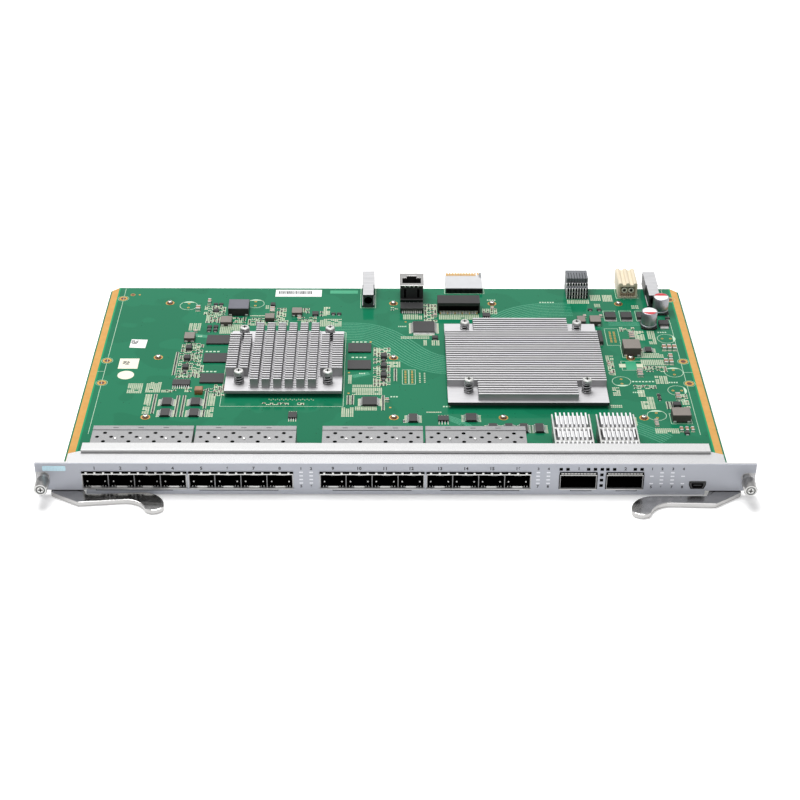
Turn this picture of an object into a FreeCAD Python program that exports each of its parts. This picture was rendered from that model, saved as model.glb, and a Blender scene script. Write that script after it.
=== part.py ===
import FreeCAD, Part
import math
import os

from FreeCAD import Vector

# A line card of an optical access chassis, in millimetres. A printed circuit board carries
# four ganged cages for small optical modules, two larger module cages with heatsinks, two
# big finned heatsinks on spring screws, and a row of connectors along its rear edge. A folded
# front panel with a printed overlay closes the front. Two ejector levers swing out of notches
# in the panel, and a sprung captive screw sits at each end.
# While modelling, X runs to the right, Y rearwards from the front face of the panel and
# Z upwards from the top of the board. At the end everything moves so that the origin lies
# at the middle of the bottom of the whole card.

# Front panel, a folded sheet with a printed overlay in front
panel_length = 394.0
panel_top = 16.2
overlay_thickness = 0.5
sheet_thickness = 1.5
bend_radius = 0.9
flange_length = 360.0
flange_step_depth = 9.8
flange_rear_length = 346.0
flange_depth = 20.0
flange_corner = 6.0
bottom_flange_length = 334.0
bottom_flange_depth = 12.0
notch_inner = 169.9
notch_top = -1.2

# Sealing strip on the panel's top flange
gasket_front = 10.2
gasket_width = 8.2
gasket_height = 2.0
gasket_radius = 0.9

# Circuit board
board_width = 372.6
board_rear = 233.6
board_thickness = 2.3
board_gap = 0.6
board_corner = 5.0
lever_room_width = 14.5
lever_room_depth = 26.0

# Ganged cages for the small modules
port_pitch = 14.25
ports_per_cage = 4
cage_left_edges = (-171.7, -113.4, -41.6, 16.8)
cage_proud = 0.4
cage_rear = 48.4
cage_height = 9.7
cage_wall = 0.4
cage_lip_depth = 4.4
cage_lip_height = 0.3
cage_floor_end = 36.0
port_window_top = 10.95
window_gap = 0.25
port_socket_width = 11.4
port_socket_height = 6.0
port_socket_depth = 9.6
port_slot_height = 1.4
port_slot_level = 3.6
port_slot_depth = 5.5
wide_slot_level = 3.6

# Cages for the two larger modules
wide_cage_count = 2
wide_cage_width = 20.2
wide_cage_gap = 5.3
wide_cages_from_ports = 16.0
wide_cage_height = 9.8
wide_cage_rear = 55.0
wide_socket_width = 17.0
wide_socket_height = 7.0
wide_socket_depth = 11.0
wide_slot_depth = 6.5
wide_window_depth = 26.0
wide_window_front = 20.0

# Heatsinks that ride on the larger cages, held by a sprung clip
rider_width = 18.0
rider_front = 13.8
rider_length = 42.2
rider_base = 2.4
rider_fins = 8
rider_top_gap = 0.2
rider_fin_thickness = 0.9
rider_cut_width = 3.8
rider_cut_places = (14.4, 27.8)
rider_cut_root = 0.3
clip_strap_width = 2.2
clip_thickness = 0.6
clip_rail_width = 0.8
clip_leg_drop = 4.0

# Heatsink over the access processor, with cross cut fins
small_sink_centre = (-66.9, 132.0)
small_sink_width = 70.0
small_sink_length = 72.2
small_sink_base = 1.9
small_sink_fins = 26
small_sink_pitch = 2.7
small_sink_fin_thickness = 1.2
small_sink_fin_height = 6.4
small_sink_front_margin = 3.2
small_sink_channels = 9
small_sink_channel_pitch = 6.87
small_sink_channel_width = 2.1
small_sink_channel_root = 0.4
small_sink_corner_rows = 5
small_sink_corner_columns = 2
small_sink_screw_spacing = 53.0
small_chip_size = 40.0
small_chip_height = 2.5

# Heatsink over the switch chip, with plain fins
large_sink_centre = (78.4, 131.3)
large_sink_width = 95.0
large_sink_length = 95.0
large_sink_base = 2.0
large_sink_fins = 35
large_sink_pitch = 2.68
large_sink_fin_thickness = 1.3
large_sink_fin_height = 4.4
large_sink_front_margin = 2.4
large_sink_corner_rows = 6
large_sink_corner_width = 18.0
large_sink_screw_spacing = 70.0
large_chip_size = 52.5
large_chip_height = 2.0

# Sides of the posts and holes that stand in for small rounds
fastener_sides = 6
head_sides = 8
collar_sides = 12
shank_sides = 8

# Spring screws of both heatsinks, and the plates under the board that they pull on
spring_screw_head_radius = 2.5
spring_screw_head_height = 1.5
spring_screw_radius = 1.3
spring_screw_top = 13.0
screw_hole_gap = 0.2
spring_radius = 1.9
spring_wire = 0.5
spring_turns = 2
spring_sides = 6
backplate_thickness = 1.3
backplate_arm = 9.0
backplate_overhang = 4.5

# Screws that hold the board to round spacers underneath
board_screw_columns = (-146.0, -1.0, 63.0, 145.3)
board_screw_rows = (73.4, 142.6, 212.8)
board_screw_head_radius = 1.8
board_screw_head_height = 1.7
spacer_radius = 2.8

# Plated fixing holes in the board
fixing_hole_radius = 1.6
fixing_hole_places = ((-177.0, 218.7), (-176.9, 138.6), (-176.7, 112.1),
                      (177.2, 138.8), (177.3, 112.4), (179.5, 218.7))

# Ejector levers, described for the right side and mirrored for the left
lever_pivot = (182.0, 8.5)
lever_thickness = 3.0
lever_gap = 0.4
lever_closing_turn = 4.3
lever_boss_radius = 6.5
lever_corner = (174.5, -11.9)
lever_heel_reach = 8.0
lever_shoulder_reach = 11.6
lever_hook_outer_centre = (141.0, -17.6)
lever_hook_outer_radius = 13.2
lever_hook_inner_centre = (150.0, -23.7)
lever_hook_inner_radius = 12.5
lever_tip_start = -18.6
lever_tip_bulge = 0.4
lever_arc_steps = 7
claw_reach = 14.4
claw_length = 5.0
claw_gap = 5.2
pivot_radius = 2.0
pivot_clearance = 0.06
pivot_head_radius = 3.4
pivot_head_height = 0.8
pivot_head_gap = 0.2
bracket_thickness = 1.4
bracket_width = 12.0
bracket_height = 8.6
bracket_gap = 0.1

# Captive screws
screw_x = 192.3
screw_z = 7.5
screw_thread_radius = 1.5
screw_rear = 6.0
knob_radius = 3.75
knob_front = -13.0
knob_length = 8.3
knob_nose = 2.2
knob_flutes = 12
knob_flute_depth = 0.3
recess_span = 3.0
recess_width = 0.7
ferrule_radius = 2.5
ferrule_front = -5.8
sliding_gap = 0.08
retainer_radius = 2.4
retainer_thickness = 0.7
retainer_groove = 0.35
overlay_slot_radius = 3.15
inner_spring_turns = 2
inner_spring_radius = 2.0
inner_spring_wire = 0.3

# Status lights, which shine through the print of the overlay, and its small dark windows
light_width = 2.0
light_height = 0.8
light_depth = 3.2
light_slot_gap = 0.1
light_columns_from_ports = (4.25, 9.8)
light_columns_from_wide = (10.0, 15.8)
light_column_span = (3.6, 10.65)
short_light_columns_from_wide = (4.6, 21.5)
short_light_span = (3.55, 8.35)
small_window = 1.9
small_window_rows = (2.1, 5.7, 9.2, 12.8)
paired_windows_from_wide = ((-9.7, -6.0), (5.3, 9.0))

# Service socket at the right end of the panel
usb_from_wide = 30.0
usb_level = 2.8
usb_width = 8.6
usb_height = 4.2
usb_depth = 9.0
usb_shell = 0.4
usb_corner = 1.2

# Guide modules at the rear edge, with a bore for the chassis pin
guide_places = (-17.3, 167.4)
guide_width = 7.9
guide_height = 9.3
guide_front = 207.5
guide_length = 33.0
guide_bore_radius = 2.5
guide_bore_height = 5.2
guide_step_depth = 14.0
guide_step = 0.5
guide_foot_height = 1.6

# Rear connectors
jack_left = 3.4
jack_width = 14.8
jack_front = 213.5
jack_depth = 16.0
jack_height = 12.6
jack_frame = 0.5
jack_socket_width = 12.0
jack_socket_length = 7.2
jack_key_width = 6.4
jack_key_length = 3.0
jack_socket_depth = 11.0
jack_socket_back = 3.0
transformer_front = 199.6
transformer_depth = 8.2
transformer_height = 3.7
option_left = 27.3
option_width = 27.2
option_front = 199.6
option_depth = 10.8
option_height = 7.6
option_slot_height = 2.4
option_slot_depth = 5.0
option_slot_inset = 1.4
signal_left = 33.3
signal_width = 24.2
signal_front = 227.6
signal_length = 18.6
signal_height = 3.5
signal_drop = 1.0
signal_contacts = 12
signal_contact_length = 3.4
wafer_left = 111.9
wafer_count = 8
wafer_pitch = 1.8
wafer_thickness = 1.45
wafer_front = 220.0
wafer_rear = 232.4
wafer_height = 12.6
wafer_slope = 4.4
wafer_step = 3.0
wafer_shroud = 3.4
wafer_slots = 3
power_left = 145.6
power_width = 12.6
power_front = 221.0
power_length = 21.4
power_height = 9.5
power_rib_radius = 1.5
power_wall = 1.3
power_pocket_depth = 4.0
power_contact_radius = 1.3
power_mouth_depth = 9.0

# Capacitors, coils and chips
capacitor_places = ((171.0, 202.3), (161.2, 183.2))
capacitor_radius = 5.1
capacitor_height = 10.4
capacitor_base = 1.2
coil_places = (
    (-100.4, 201.8, 12.9, 12.2, 5.6), (-107.4, 186.4, 7.2, 8.4, 3.0), (-128.7, 165.2, 6.6, 8.0, 3.2),
    (-62.9, 198.4, 6.6, 7.2, 3.0), (118.7, 187.6, 5.2, 7.6, 3.2), (127.6, 187.4, 7.0, 8.4, 3.4),
    (146.4, 150.6, 10.8, 11.6, 6.0), (166.6, 72.6, 10.8, 9.0, 5.2))
memory_size = (14.2, 10.6, 1.1)
memory_left_column = -110.8
memory_left_rows = (163.8, 141.1, 116.7)
memory_right_column = -22.1
memory_right_rows = (153.9, 132.9)
logic_chip_height = 1.5
logic_chips = (
    (18.2, 179.9, 13.6, 13.6), (-15.3, 90.1, 8.7, 8.7), (-128.7, 111.1, 10.4, 6.2),
    (-135.1, 89.4, 5.4, 7.6), (-118.2, 89.4, 5.4, 7.6), (-134.9, 77.2, 5.2, 7.6),
    (-118.1, 77.2, 5.2, 7.6), (-60.2, 74.4, 5.0, 6.0), (10.2, 71.6, 4.8, 8.0),
    (27.9, 71.0, 6.2, 5.0), (44.1, 72.3, 6.2, 7.6), (58.6, 195.9, 4.8, 4.6),
    (157.2, 152.1, 4.0, 5.2), (56.4, 60.8, 4.6, 8.6), (65.6, 60.8, 4.2, 8.6),
    (74.2, 60.8, 4.2, 8.6), (83.2, 60.8, 4.6, 8.6))
power_chip_size = (6.9, 7.0, 2.2)
power_chip_columns = (137.9, 148.2, 158.4)
power_chip_row = 194.8

# Levels and planes that follow from the sizes above
panel_rear = overlay_thickness + sheet_thickness
board_front = panel_rear + board_gap
panel_bottom = -(board_thickness + sheet_thickness)
rider_fin_height = panel_top - sheet_thickness - rider_top_gap - wide_cage_height - rider_base
board_bottom = -board_thickness
half_panel = panel_length / 2
half_board = board_width / 2
cage_width = ports_per_cage * port_pitch
ports_ends = (cage_left_edges[1] + cage_width, cage_left_edges[-1] + cage_width)
wide_cage_spacing = wide_cage_width + wide_cage_gap
wide_cage_start = ports_ends[-1] + wide_cages_from_ports + wide_cage_width / 2
wide_cage_centres = [wide_cage_start + number * wide_cage_spacing for number in range(wide_cage_count)]
wide_cages_end = wide_cage_centres[-1] + wide_cage_width / 2
light_columns = [end + offset for end in ports_ends for offset in light_columns_from_ports]
light_columns += [wide_cages_end + offset for offset in light_columns_from_wide]
short_light_columns = [wide_cages_end + offset for offset in short_light_columns_from_wide]
middle_window_column = sum(wide_cage_centres) / wide_cage_count
paired_window_columns = [(centre + first, centre + second) for centre in wide_cage_centres
                         for first, second in paired_windows_from_wide]
usb_centre = (wide_cages_end + usb_from_wide, usb_level)
lever_heel = lever_pivot[0] + lever_heel_reach
lever_shoulder = lever_pivot[0] - lever_shoulder_reach
lever_top = notch_top - lever_gap
lever_bottom = lever_top - lever_thickness
beyond = 1.0


def block(x0, x1, y0, y1, z0, z1):
    """A box between two corners."""
    return Part.makeBox(x1 - x0, y1 - y0, z1 - z0, Vector(x0, y0, z0))


def block_at(x, y, width, depth, z0, z1):
    """A box centred on a point of the board, from z0 up to z1."""
    return block(x - width / 2, x + width / 2, y - depth / 2, y + depth / 2, z0, z1)


def post(x, y, radius, z0, z1):
    """An upright cylinder."""
    return Part.makeCylinder(radius, z1 - z0, Vector(x, y, z0))


def rod(x, z, radius, y0, y1):
    """A cylinder that lies along Y."""
    return Part.makeCylinder(radius, y1 - y0, Vector(x, y0, z), Vector(0, 1, 0))


def round_of(radius, sides):
    """The corners of a regular polygon, a flat one upwards, that stands in for a small circle."""
    angles = [2 * math.pi * (corner + 0.5) / sides for corner in range(sides)]
    return [(radius * math.cos(angle), radius * math.sin(angle)) for angle in angles]


def stud(x, y, radius, z0, z1, sides):
    """An upright many-sided post, for small fasteners."""
    return extruded([Vector(x + u, y + v, z0) for u, v in round_of(radius, sides)], Vector(0, 0, z1 - z0))


def bar(x, z, radius, y0, y1, sides):
    """A many-sided post that lies along Y."""
    return extruded([Vector(x + u, y0, z + v) for u, v in round_of(radius, sides)], Vector(0, y1 - y0, 0))


def around(radius, gap, sides):
    """The corner radius of a many-sided hole that clears a round of this radius by the gap."""
    return (radius + gap) / math.cos(math.pi / sides)


def extruded(points, direction):
    """A solid swept in a straight line from a closed outline."""
    outline = Part.makePolygon(points + points[:1])
    return Part.Face(outline).extrude(direction)


def joined(shapes):
    """One solid fused from several that meet."""
    return shapes[0].fuse(shapes[1:]).removeSplitter()


def without(shape, tools):
    """The shape with each of the tools cut away."""
    return shape.cut(tools) if tools else shape


def mirrored(shape):
    """The same piece for the left side."""
    return shape.mirror(Vector(0, 0, 0), Vector(1, 0, 0))


def long_edges(shape, axis, test):
    """The straight edges along one axis whose middle passes the test."""
    found = []
    for edge in shape.Edges:
        first, last = edge.Vertexes[0].Point, edge.Vertexes[-1].Point
        run = (last - first)
        if run.Length > 0 and abs(run.dot(axis)) > 0.999 * run.Length:
            if test((first + last) * 0.5):
                found.append(edge)
    return found


def coil(x, y, radius, wire, z0, z1, turns, sides):
    """A wound spring as one closed solid: a three-sided wire stepped round a polygon."""
    steps = turns * sides
    rise = (z1 - z0 - wire) / steps
    rings = []
    for step in range(steps + 1):
        angle = 2 * math.pi * step / sides
        middle = z0 + wire / 2 + rise * step
        section = ((radius - wire / 2, 0), (radius + wire / 2, wire / 2), (radius + wire / 2, -wire / 2))
        rings.append([Vector(x + r * math.cos(angle), y + r * math.sin(angle), middle + lift)
                      for r, lift in section])
    faces = []
    for ring, following in zip(rings, rings[1:]):
        for side in range(3):
            a, b = ring[side], ring[(side + 1) % 3]
            c, d = following[(side + 1) % 3], following[side]
            faces.append(Part.Face(Part.makePolygon([a, b, c, a])))
            faces.append(Part.Face(Part.makePolygon([a, c, d, a])))
    for ring in (rings[0], rings[-1]):
        faces.append(Part.Face(Part.makePolygon(ring + ring[:1])))
    return Part.Solid(Part.Shell(faces))


def finned_sink(width, length, base, fins, pitch, thickness, height, front_margin):
    """An extruded heatsink with its front left corner at the origin and fins along X."""
    floor, top = base, base + height
    points = [Vector(0, 0, 0), Vector(0, 0, floor)]
    for fin in range(fins):
        near = front_margin + fin * pitch
        points += [Vector(0, near, floor), Vector(0, near, top),
                   Vector(0, near + thickness, top), Vector(0, near + thickness, floor)]
    points += [Vector(0, length, floor), Vector(0, length, 0)]
    return extruded(points, Vector(width, 0, 0))


def panel_windows():
    """Every rectangular opening of the panel as (x0, x1, z0, z1)."""
    windows = []
    for left in cage_left_edges:
        windows.append((left - window_gap, left + cage_width + window_gap, -window_gap, port_window_top))
    for centre in wide_cage_centres:
        half = wide_cage_width / 2 + window_gap
        windows.append((centre - half, centre + half, -window_gap, port_window_top))
    return windows


def light_slots(gap):
    """The slots in the sheet for the bars of the status lights, as (x0, x1, z0, z1)."""
    spans = [(x, light_column_span) for x in light_columns]
    spans += [(x, short_light_span) for x in short_light_columns]
    wide, high = light_width / 2 + gap, light_height / 2 + gap
    return [(x - wide, x + wide, low - high, top + high) for x, (low, top) in spans]


def dark_windows():
    """The small square windows round the larger cages as (x0, x1, z0, z1)."""
    spots = [(x, small_window_rows[-1]) for pair in paired_window_columns for x in pair]
    spots += [(middle_window_column, z) for z in small_window_rows]
    half = small_window / 2
    return [(x - half, x + half, z - half, z + half) for x, z in spots]


def dark_slots():
    """The wider slots of the sheet behind those windows, as (x0, x1, z0, z1)."""
    half = small_window / 2
    low, top = small_window_rows[0], small_window_rows[-1]
    slots = [(a - half, b + half, top - half, top + half) for a, b in paired_window_columns]
    return slots + [(middle_window_column - half, middle_window_column + half, low - half, top + half)]


def face_outline(y0, y1):
    """The flat of the panel with its lever notches, open below and at the ends."""
    points = [(-half_panel, panel_top), (half_panel, panel_top), (half_panel, notch_top),
              (notch_inner, notch_top), (notch_inner, panel_bottom), (-notch_inner, panel_bottom),
              (-notch_inner, notch_top), (-half_panel, notch_top)]
    return extruded([Vector(x, y0, z) for x, z in points], Vector(0, y1 - y0, 0))


def usb_profile(gap, y0, y1):
    """The body of the service socket, with its two lower corners cut off."""
    x, z = usb_centre
    half, top, bottom = usb_width / 2 + gap, z + usb_height / 2 + gap, z - usb_height / 2 - gap
    points = [(x - half, top), (x + half, top), (x + half, bottom + usb_corner),
              (x + half - usb_corner, bottom), (x - half + usb_corner, bottom), (x - half, bottom + usb_corner)]
    return extruded([Vector(px, y0, pz) for px, pz in points], Vector(0, y1 - y0, 0))


def front_panel():
    """The folded sheet: upright face, stepped top flange and a flange under the board."""
    face = face_outline(overlay_thickness, panel_rear)
    half, rear_half = flange_length / 2, flange_rear_length / 2
    step = flange_step_depth
    points = [(-half, overlay_thickness), (half, overlay_thickness), (half, step),
              (rear_half, step + flange_corner / 2), (rear_half, flange_depth - flange_corner / 2),
              (rear_half - flange_corner / 2, flange_depth), (-rear_half + flange_corner / 2, flange_depth),
              (-rear_half, flange_depth - flange_corner / 2), (-rear_half, step + flange_corner / 2),
              (-half, step)]
    top = extruded([Vector(x, y, panel_top - sheet_thickness) for x, y in points],
                   Vector(0, 0, sheet_thickness))
    low = block(-bottom_flange_length / 2, bottom_flange_length / 2, overlay_thickness,
                bottom_flange_depth, panel_bottom, panel_bottom + sheet_thickness)
    cuts = [block(x0, x1, -beyond, panel_rear + beyond, z0, z1)
            for x0, x1, z0, z1 in panel_windows() + dark_slots() + light_slots(light_slot_gap)]
    cuts.append(usb_profile(window_gap, -beyond, panel_rear + beyond))
    for side in (-1, 1):
        cuts.append(bar(side * screw_x, screw_z, ferrule_radius, -beyond, panel_rear + beyond, collar_sides))
    sheet = joined([face, top, low])
    bends = long_edges(sheet, Vector(1, 0, 0), lambda p: abs(p.x) < 1 and p.y < overlay_thickness + 0.01
                       and p.z < panel_bottom + 0.01)
    sheet = sheet.makeFillet(bend_radius, bends)
    return without(sheet, cuts)


def face_overlay():
    """The printed overlay, with windows and a slot at each end for the captive screw."""
    face = face_outline(0, overlay_thickness)
    cuts = [block(x0, x1, -beyond, panel_rear, z0, z1)
            for x0, x1, z0, z1 in panel_windows() + dark_windows()]
    cuts.append(usb_profile(window_gap, -beyond, panel_rear))
    for side in (-1, 1):
        cuts.append(bar(side * screw_x, screw_z, overlay_slot_radius, -beyond, panel_rear, collar_sides))
        end = side * (half_panel + beyond)
        cuts.append(block(min(side * screw_x, end), max(side * screw_x, end), -beyond, panel_rear,
                          screw_z - overlay_slot_radius, screw_z + overlay_slot_radius))
    return without(face, cuts)


def sealing_strip():
    """The conductive sealing strip, rounded along its top."""
    half = flange_rear_length / 2
    strip = block(-half, half, gasket_front, gasket_front + gasket_width, panel_top, panel_top + gasket_height)
    crown = panel_top + gasket_height
    top = [edge for edge in strip.Edges
           if min(edge.Vertexes[0].Z, edge.Vertexes[-1].Z) > crown - 0.01
           and abs(edge.Vertexes[0].X - edge.Vertexes[-1].X) > 1]
    return strip.makeFillet(gasket_radius, top)


def board_screw_places():
    """The grid of board screws, apart from the one place that lies under the large chip."""
    places = []
    for x in board_screw_columns:
        for y in board_screw_rows:
            clear_x = abs(x - large_sink_centre[0]) > large_chip_size / 2 + board_screw_head_radius
            clear_y = abs(y - large_sink_centre[1]) > large_chip_size / 2 + board_screw_head_radius
            if clear_x or clear_y:
                places.append((x, y))
    return places


def sink_screw_places(centre, spacing):
    """The four screws at the corners of a heatsink."""
    half = spacing / 2
    return [(centre[0] + sx * half, centre[1] + sy * half) for sx in (-1, 1) for sy in (-1, 1)]


def circuit_board():
    """The board, with corner room for the levers, chamfered rear corners and its holes."""
    inner = half_board - lever_room_width
    front, room = board_front, board_front + lever_room_depth - bottom_flange_depth + board_gap
    room = max(room, lever_pivot[1] + claw_reach + beyond)
    right = [(inner, front), (inner, room), (half_board, room),
             (half_board, board_rear - board_corner), (half_board - board_corner, board_rear)]
    left = [(-x, y) for x, y in reversed(right)]
    board = extruded([Vector(x, y, board_bottom) for x, y in right + left], Vector(0, 0, board_thickness))
    holes = [stud(x, y, fixing_hole_radius, board_bottom - beyond, beyond, head_sides)
             for x, y in fixing_hole_places]
    for centre, spacing in ((small_sink_centre, small_sink_screw_spacing),
                            (large_sink_centre, large_sink_screw_spacing)):
        holes += [stud(x, y, spring_screw_radius + screw_hole_gap, board_bottom - beyond, beyond,
                       fastener_sides) for x, y in sink_screw_places(centre, spacing)]
    return without(board, holes)


def port_cage(left):
    """Four module cages side by side in folded sheet, open in front and under the sockets."""
    right, front = left + cage_width, -cage_proud
    shell = block(left, right, front, cage_rear, 0, cage_height)
    lip = block(left, right, cage_rear - cage_lip_depth, cage_rear, cage_height, cage_height + cage_lip_height)
    cuts = []
    for port in range(ports_per_cage):
        x0 = left + port * port_pitch + cage_wall / 2
        x1 = left + (port + 1) * port_pitch - cage_wall / 2
        if port == 0:
            x0 = left + cage_wall
        if port == ports_per_cage - 1:
            x1 = right - cage_wall
        cuts.append(block(x0, x1, front - beyond, cage_rear - cage_wall, cage_wall, cage_height - cage_wall))
        cuts.append(block(x0, x1, cage_floor_end, cage_rear - cage_wall, -beyond, cage_wall))
    return without(joined([shell, lip]), cuts)


def edge_socket(x, rear, width, height, depth, slot_depth, slot_level):
    """A socket for the edge of a plugged module: a block on the board with a slot right across."""
    front, slot_top = rear - depth, slot_level + port_slot_height
    section = [(front, 0), (front, slot_level), (front + slot_depth, slot_level),
               (front + slot_depth, slot_top), (front, slot_top), (front, height), (rear, height), (rear, 0)]
    return extruded([Vector(x - width / 2, y, z) for y, z in section], Vector(width, 0, 0))


def port_sockets(left):
    """The four board sockets inside one ganged cage."""
    rear = cage_rear - cage_wall - beyond
    return Part.makeCompound([
        edge_socket(left + (port + 0.5) * port_pitch, rear, port_socket_width, port_socket_height,
                    port_socket_depth, port_slot_depth, port_slot_level) for port in range(ports_per_cage)])


def wide_cage(x):
    """A single large cage with a window in its roof for the riding heatsink."""
    half, front = wide_cage_width / 2, -cage_proud
    shell = block(x - half, x + half, front, wide_cage_rear, 0, wide_cage_height)
    inner = half - cage_wall
    back = wide_cage_rear - cage_wall
    cuts = [block(x - inner, x + inner, front - beyond, back, cage_wall, wide_cage_height - cage_wall),
            block(x - inner, x + inner, back - wide_socket_depth - 2 * beyond, back, -beyond, cage_wall)]
    roof_half = rider_width / 2 - beyond
    cuts.append(block(x - roof_half, x + roof_half, wide_window_front, wide_window_front + wide_window_depth,
                      wide_cage_height - 2 * cage_wall, wide_cage_height + beyond))
    return without(shell, cuts)


def wide_socket(x):
    """The board socket inside a large cage."""
    return edge_socket(x, wide_cage_rear - cage_wall - beyond, wide_socket_width, wide_socket_height,
                       wide_socket_depth, wide_slot_depth, wide_slot_level)


def rider_sink(x):
    """A heatsink that rides on a large cage: fins along Y, cut across twice for the clip."""
    pitch = (rider_width - rider_fin_thickness) / (rider_fins - 1)
    sink = finned_sink(rider_length, rider_width, rider_base, rider_fins, pitch,
                       rider_fin_thickness, rider_fin_height, 0)
    sink.rotate(Vector(0, 0, 0), Vector(0, 0, 1), 90)
    sink.translate(Vector(x + rider_width / 2, rider_front, wide_cage_height))
    floor = wide_cage_height + rider_base + rider_cut_root
    cuts = [block(x - rider_width, x + rider_width, rider_front + place - rider_cut_width / 2,
                  rider_front + place + rider_cut_width / 2, floor, floor + rider_fin_height + beyond)
            for place in rider_cut_places]
    pad_half = rider_width / 2 - 2 * beyond
    pad = block(x - pad_half, x + pad_half, wide_window_front + beyond,
                wide_window_front + wide_window_depth - beyond, wide_cage_height - cage_wall, wide_cage_height)
    return joined([without(sink, cuts), pad])


def rider_clip(x):
    """The sprung clip: two straps over a riding heatsink, side rails and legs on the cage."""
    floor = wide_cage_height + rider_base + rider_cut_root
    inner = wide_cage_width / 2 + sliding_gap
    outer = inner + clip_rail_width
    front = rider_front + rider_cut_places[0] - 2 * clip_strap_width
    rear = rider_front + rider_length + beyond / 2
    pieces = []
    for place in rider_cut_places:
        middle = rider_front + place
        pieces.append(block(x - outer, x + outer, middle - clip_strap_width / 2, middle + clip_strap_width / 2,
                            floor, floor + clip_thickness))
    for side in (-1, 1):
        x0, x1 = sorted((x + side * inner, x + side * outer))
        pieces.append(block(x0, x1, front, rear, wide_cage_height, floor + clip_thickness))
        for place in rider_cut_places:
            middle = rider_front + place
            pieces.append(block(x0, x1, middle - clip_strap_width, middle + clip_strap_width,
                                wide_cage_height - clip_leg_drop, wide_cage_height))
    return joined(pieces)


def small_heatsink():
    """The cross cut heatsink, with open corners for its four spring screws."""
    x, y = small_sink_centre
    left, front = x - small_sink_width / 2, y - small_sink_length / 2
    sink = finned_sink(small_sink_width, small_sink_length, small_sink_base, small_sink_fins,
                       small_sink_pitch, small_sink_fin_thickness, small_sink_fin_height,
                       small_sink_front_margin)
    sink.translate(Vector(left, front, small_chip_height))
    floor = small_chip_height + small_sink_base
    top = floor + small_sink_fin_height + beyond
    rear = front + small_sink_length
    cuts = []
    for channel in range(small_sink_channels):
        middle = x + (channel - (small_sink_channels - 1) / 2) * small_sink_channel_pitch
        cuts.append(block(middle - small_sink_channel_width / 2, middle + small_sink_channel_width / 2,
                          front - beyond, rear + beyond, floor + small_sink_channel_root, top))
    kept_channels = (small_sink_channels - 1) / 2 - small_sink_corner_columns + 1
    reach = small_sink_width / 2 - kept_channels * small_sink_channel_pitch
    near = front + small_sink_front_margin + small_sink_corner_rows * small_sink_pitch - beyond / 2
    far_row = small_sink_fins - small_sink_corner_rows
    far = front + small_sink_front_margin + far_row * small_sink_pitch - beyond / 2
    for x0, x1 in ((left - beyond, left + reach), (left + small_sink_width - reach, left + small_sink_width + beyond)):
        cuts.append(block(x0, x1, front - beyond, near, floor, top))
        cuts.append(block(x0, x1, far, rear + beyond, floor, top))
    for hx, hy in sink_screw_places(small_sink_centre, small_sink_screw_spacing):
        cuts.append(stud(hx, hy, spring_screw_radius + screw_hole_gap, 0, top, fastener_sides))
    return without(sink, cuts)


def large_heatsink():
    """The plain finned heatsink, with open corners for its four spring screws."""
    x, y = large_sink_centre
    left, front = x - large_sink_width / 2, y - large_sink_length / 2
    sink = finned_sink(large_sink_width, large_sink_length, large_sink_base, large_sink_fins,
                       large_sink_pitch, large_sink_fin_thickness, large_sink_fin_height,
                       large_sink_front_margin)
    sink.translate(Vector(left, front, large_chip_height))
    floor = large_chip_height + large_sink_base
    top = floor + large_sink_fin_height + beyond
    right, rear = left + large_sink_width, front + large_sink_length
    near = front + large_sink_front_margin + large_sink_corner_rows * large_sink_pitch - beyond / 2
    far_row = large_sink_fins - large_sink_corner_rows
    far = front + large_sink_front_margin + far_row * large_sink_pitch - beyond / 2
    cuts = []
    for x0, x1 in ((left - beyond, left + large_sink_corner_width), (right - large_sink_corner_width, right + beyond)):
        cuts.append(block(x0, x1, front - beyond, near, floor, top))
        cuts.append(block(x0, x1, far, rear + beyond, floor, top))
    for hx, hy in sink_screw_places(large_sink_centre, large_sink_screw_spacing):
        cuts.append(stud(hx, hy, spring_screw_radius + screw_hole_gap, 0, top, fastener_sides))
    return without(sink, cuts)


def spring_screws(centre, spacing):
    """Four spring screws that reach through heatsink and board into the plate below."""
    screws = []
    for x, y in sink_screw_places(centre, spacing):
        head = stud(x, y, spring_screw_head_radius, spring_screw_top - spring_screw_head_height,
                    spring_screw_top, head_sides)
        shank = stud(x, y, spring_screw_radius, board_bottom - backplate_thickness,
                     spring_screw_top - spring_screw_head_height, fastener_sides)
        screws.append(joined([head, shank]))
    return Part.makeCompound(screws)


def screw_springs(centre, spacing, floor):
    """The four coil springs under the screw heads."""
    return Part.makeCompound([
        coil(x, y, spring_radius, spring_wire, floor, spring_screw_top - spring_screw_head_height,
             spring_turns, spring_sides) for x, y in sink_screw_places(centre, spacing)])


def backplate(centre, spacing):
    """A cross of flat bar under the board, threaded at its four ends."""
    half = spacing / 2
    reach = half + backplate_overhang
    arm = backplate_arm / 2
    bottom = board_bottom - backplate_thickness
    bars = []
    for side in (-1, 1):
        bars.append(block(centre[0] + side * half - arm, centre[0] + side * half + arm,
                          centre[1] - reach, centre[1] + reach, bottom, board_bottom))
    bars.append(block(centre[0] - half, centre[0] + half, centre[1] - arm, centre[1] + arm, bottom, board_bottom))
    plate = joined(bars)
    return without(plate, [stud(x, y, spring_screw_radius, bottom - beyond, board_bottom + beyond,
                                fastener_sides) for x, y in sink_screw_places(centre, spacing)])


def board_screws():
    """The low heads of the screws that hold the board to its spacers."""
    return Part.makeCompound([stud(x, y, board_screw_head_radius, 0, board_screw_head_height,
                                   fastener_sides) for x, y in board_screw_places()])


def board_spacers():
    """Six-sided spacers under the board, level with the levers, that the card rests on."""
    return Part.makeCompound([stud(x, y, spacer_radius, lever_bottom, board_bottom, fastener_sides)
                              for x, y in board_screw_places()])


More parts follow.
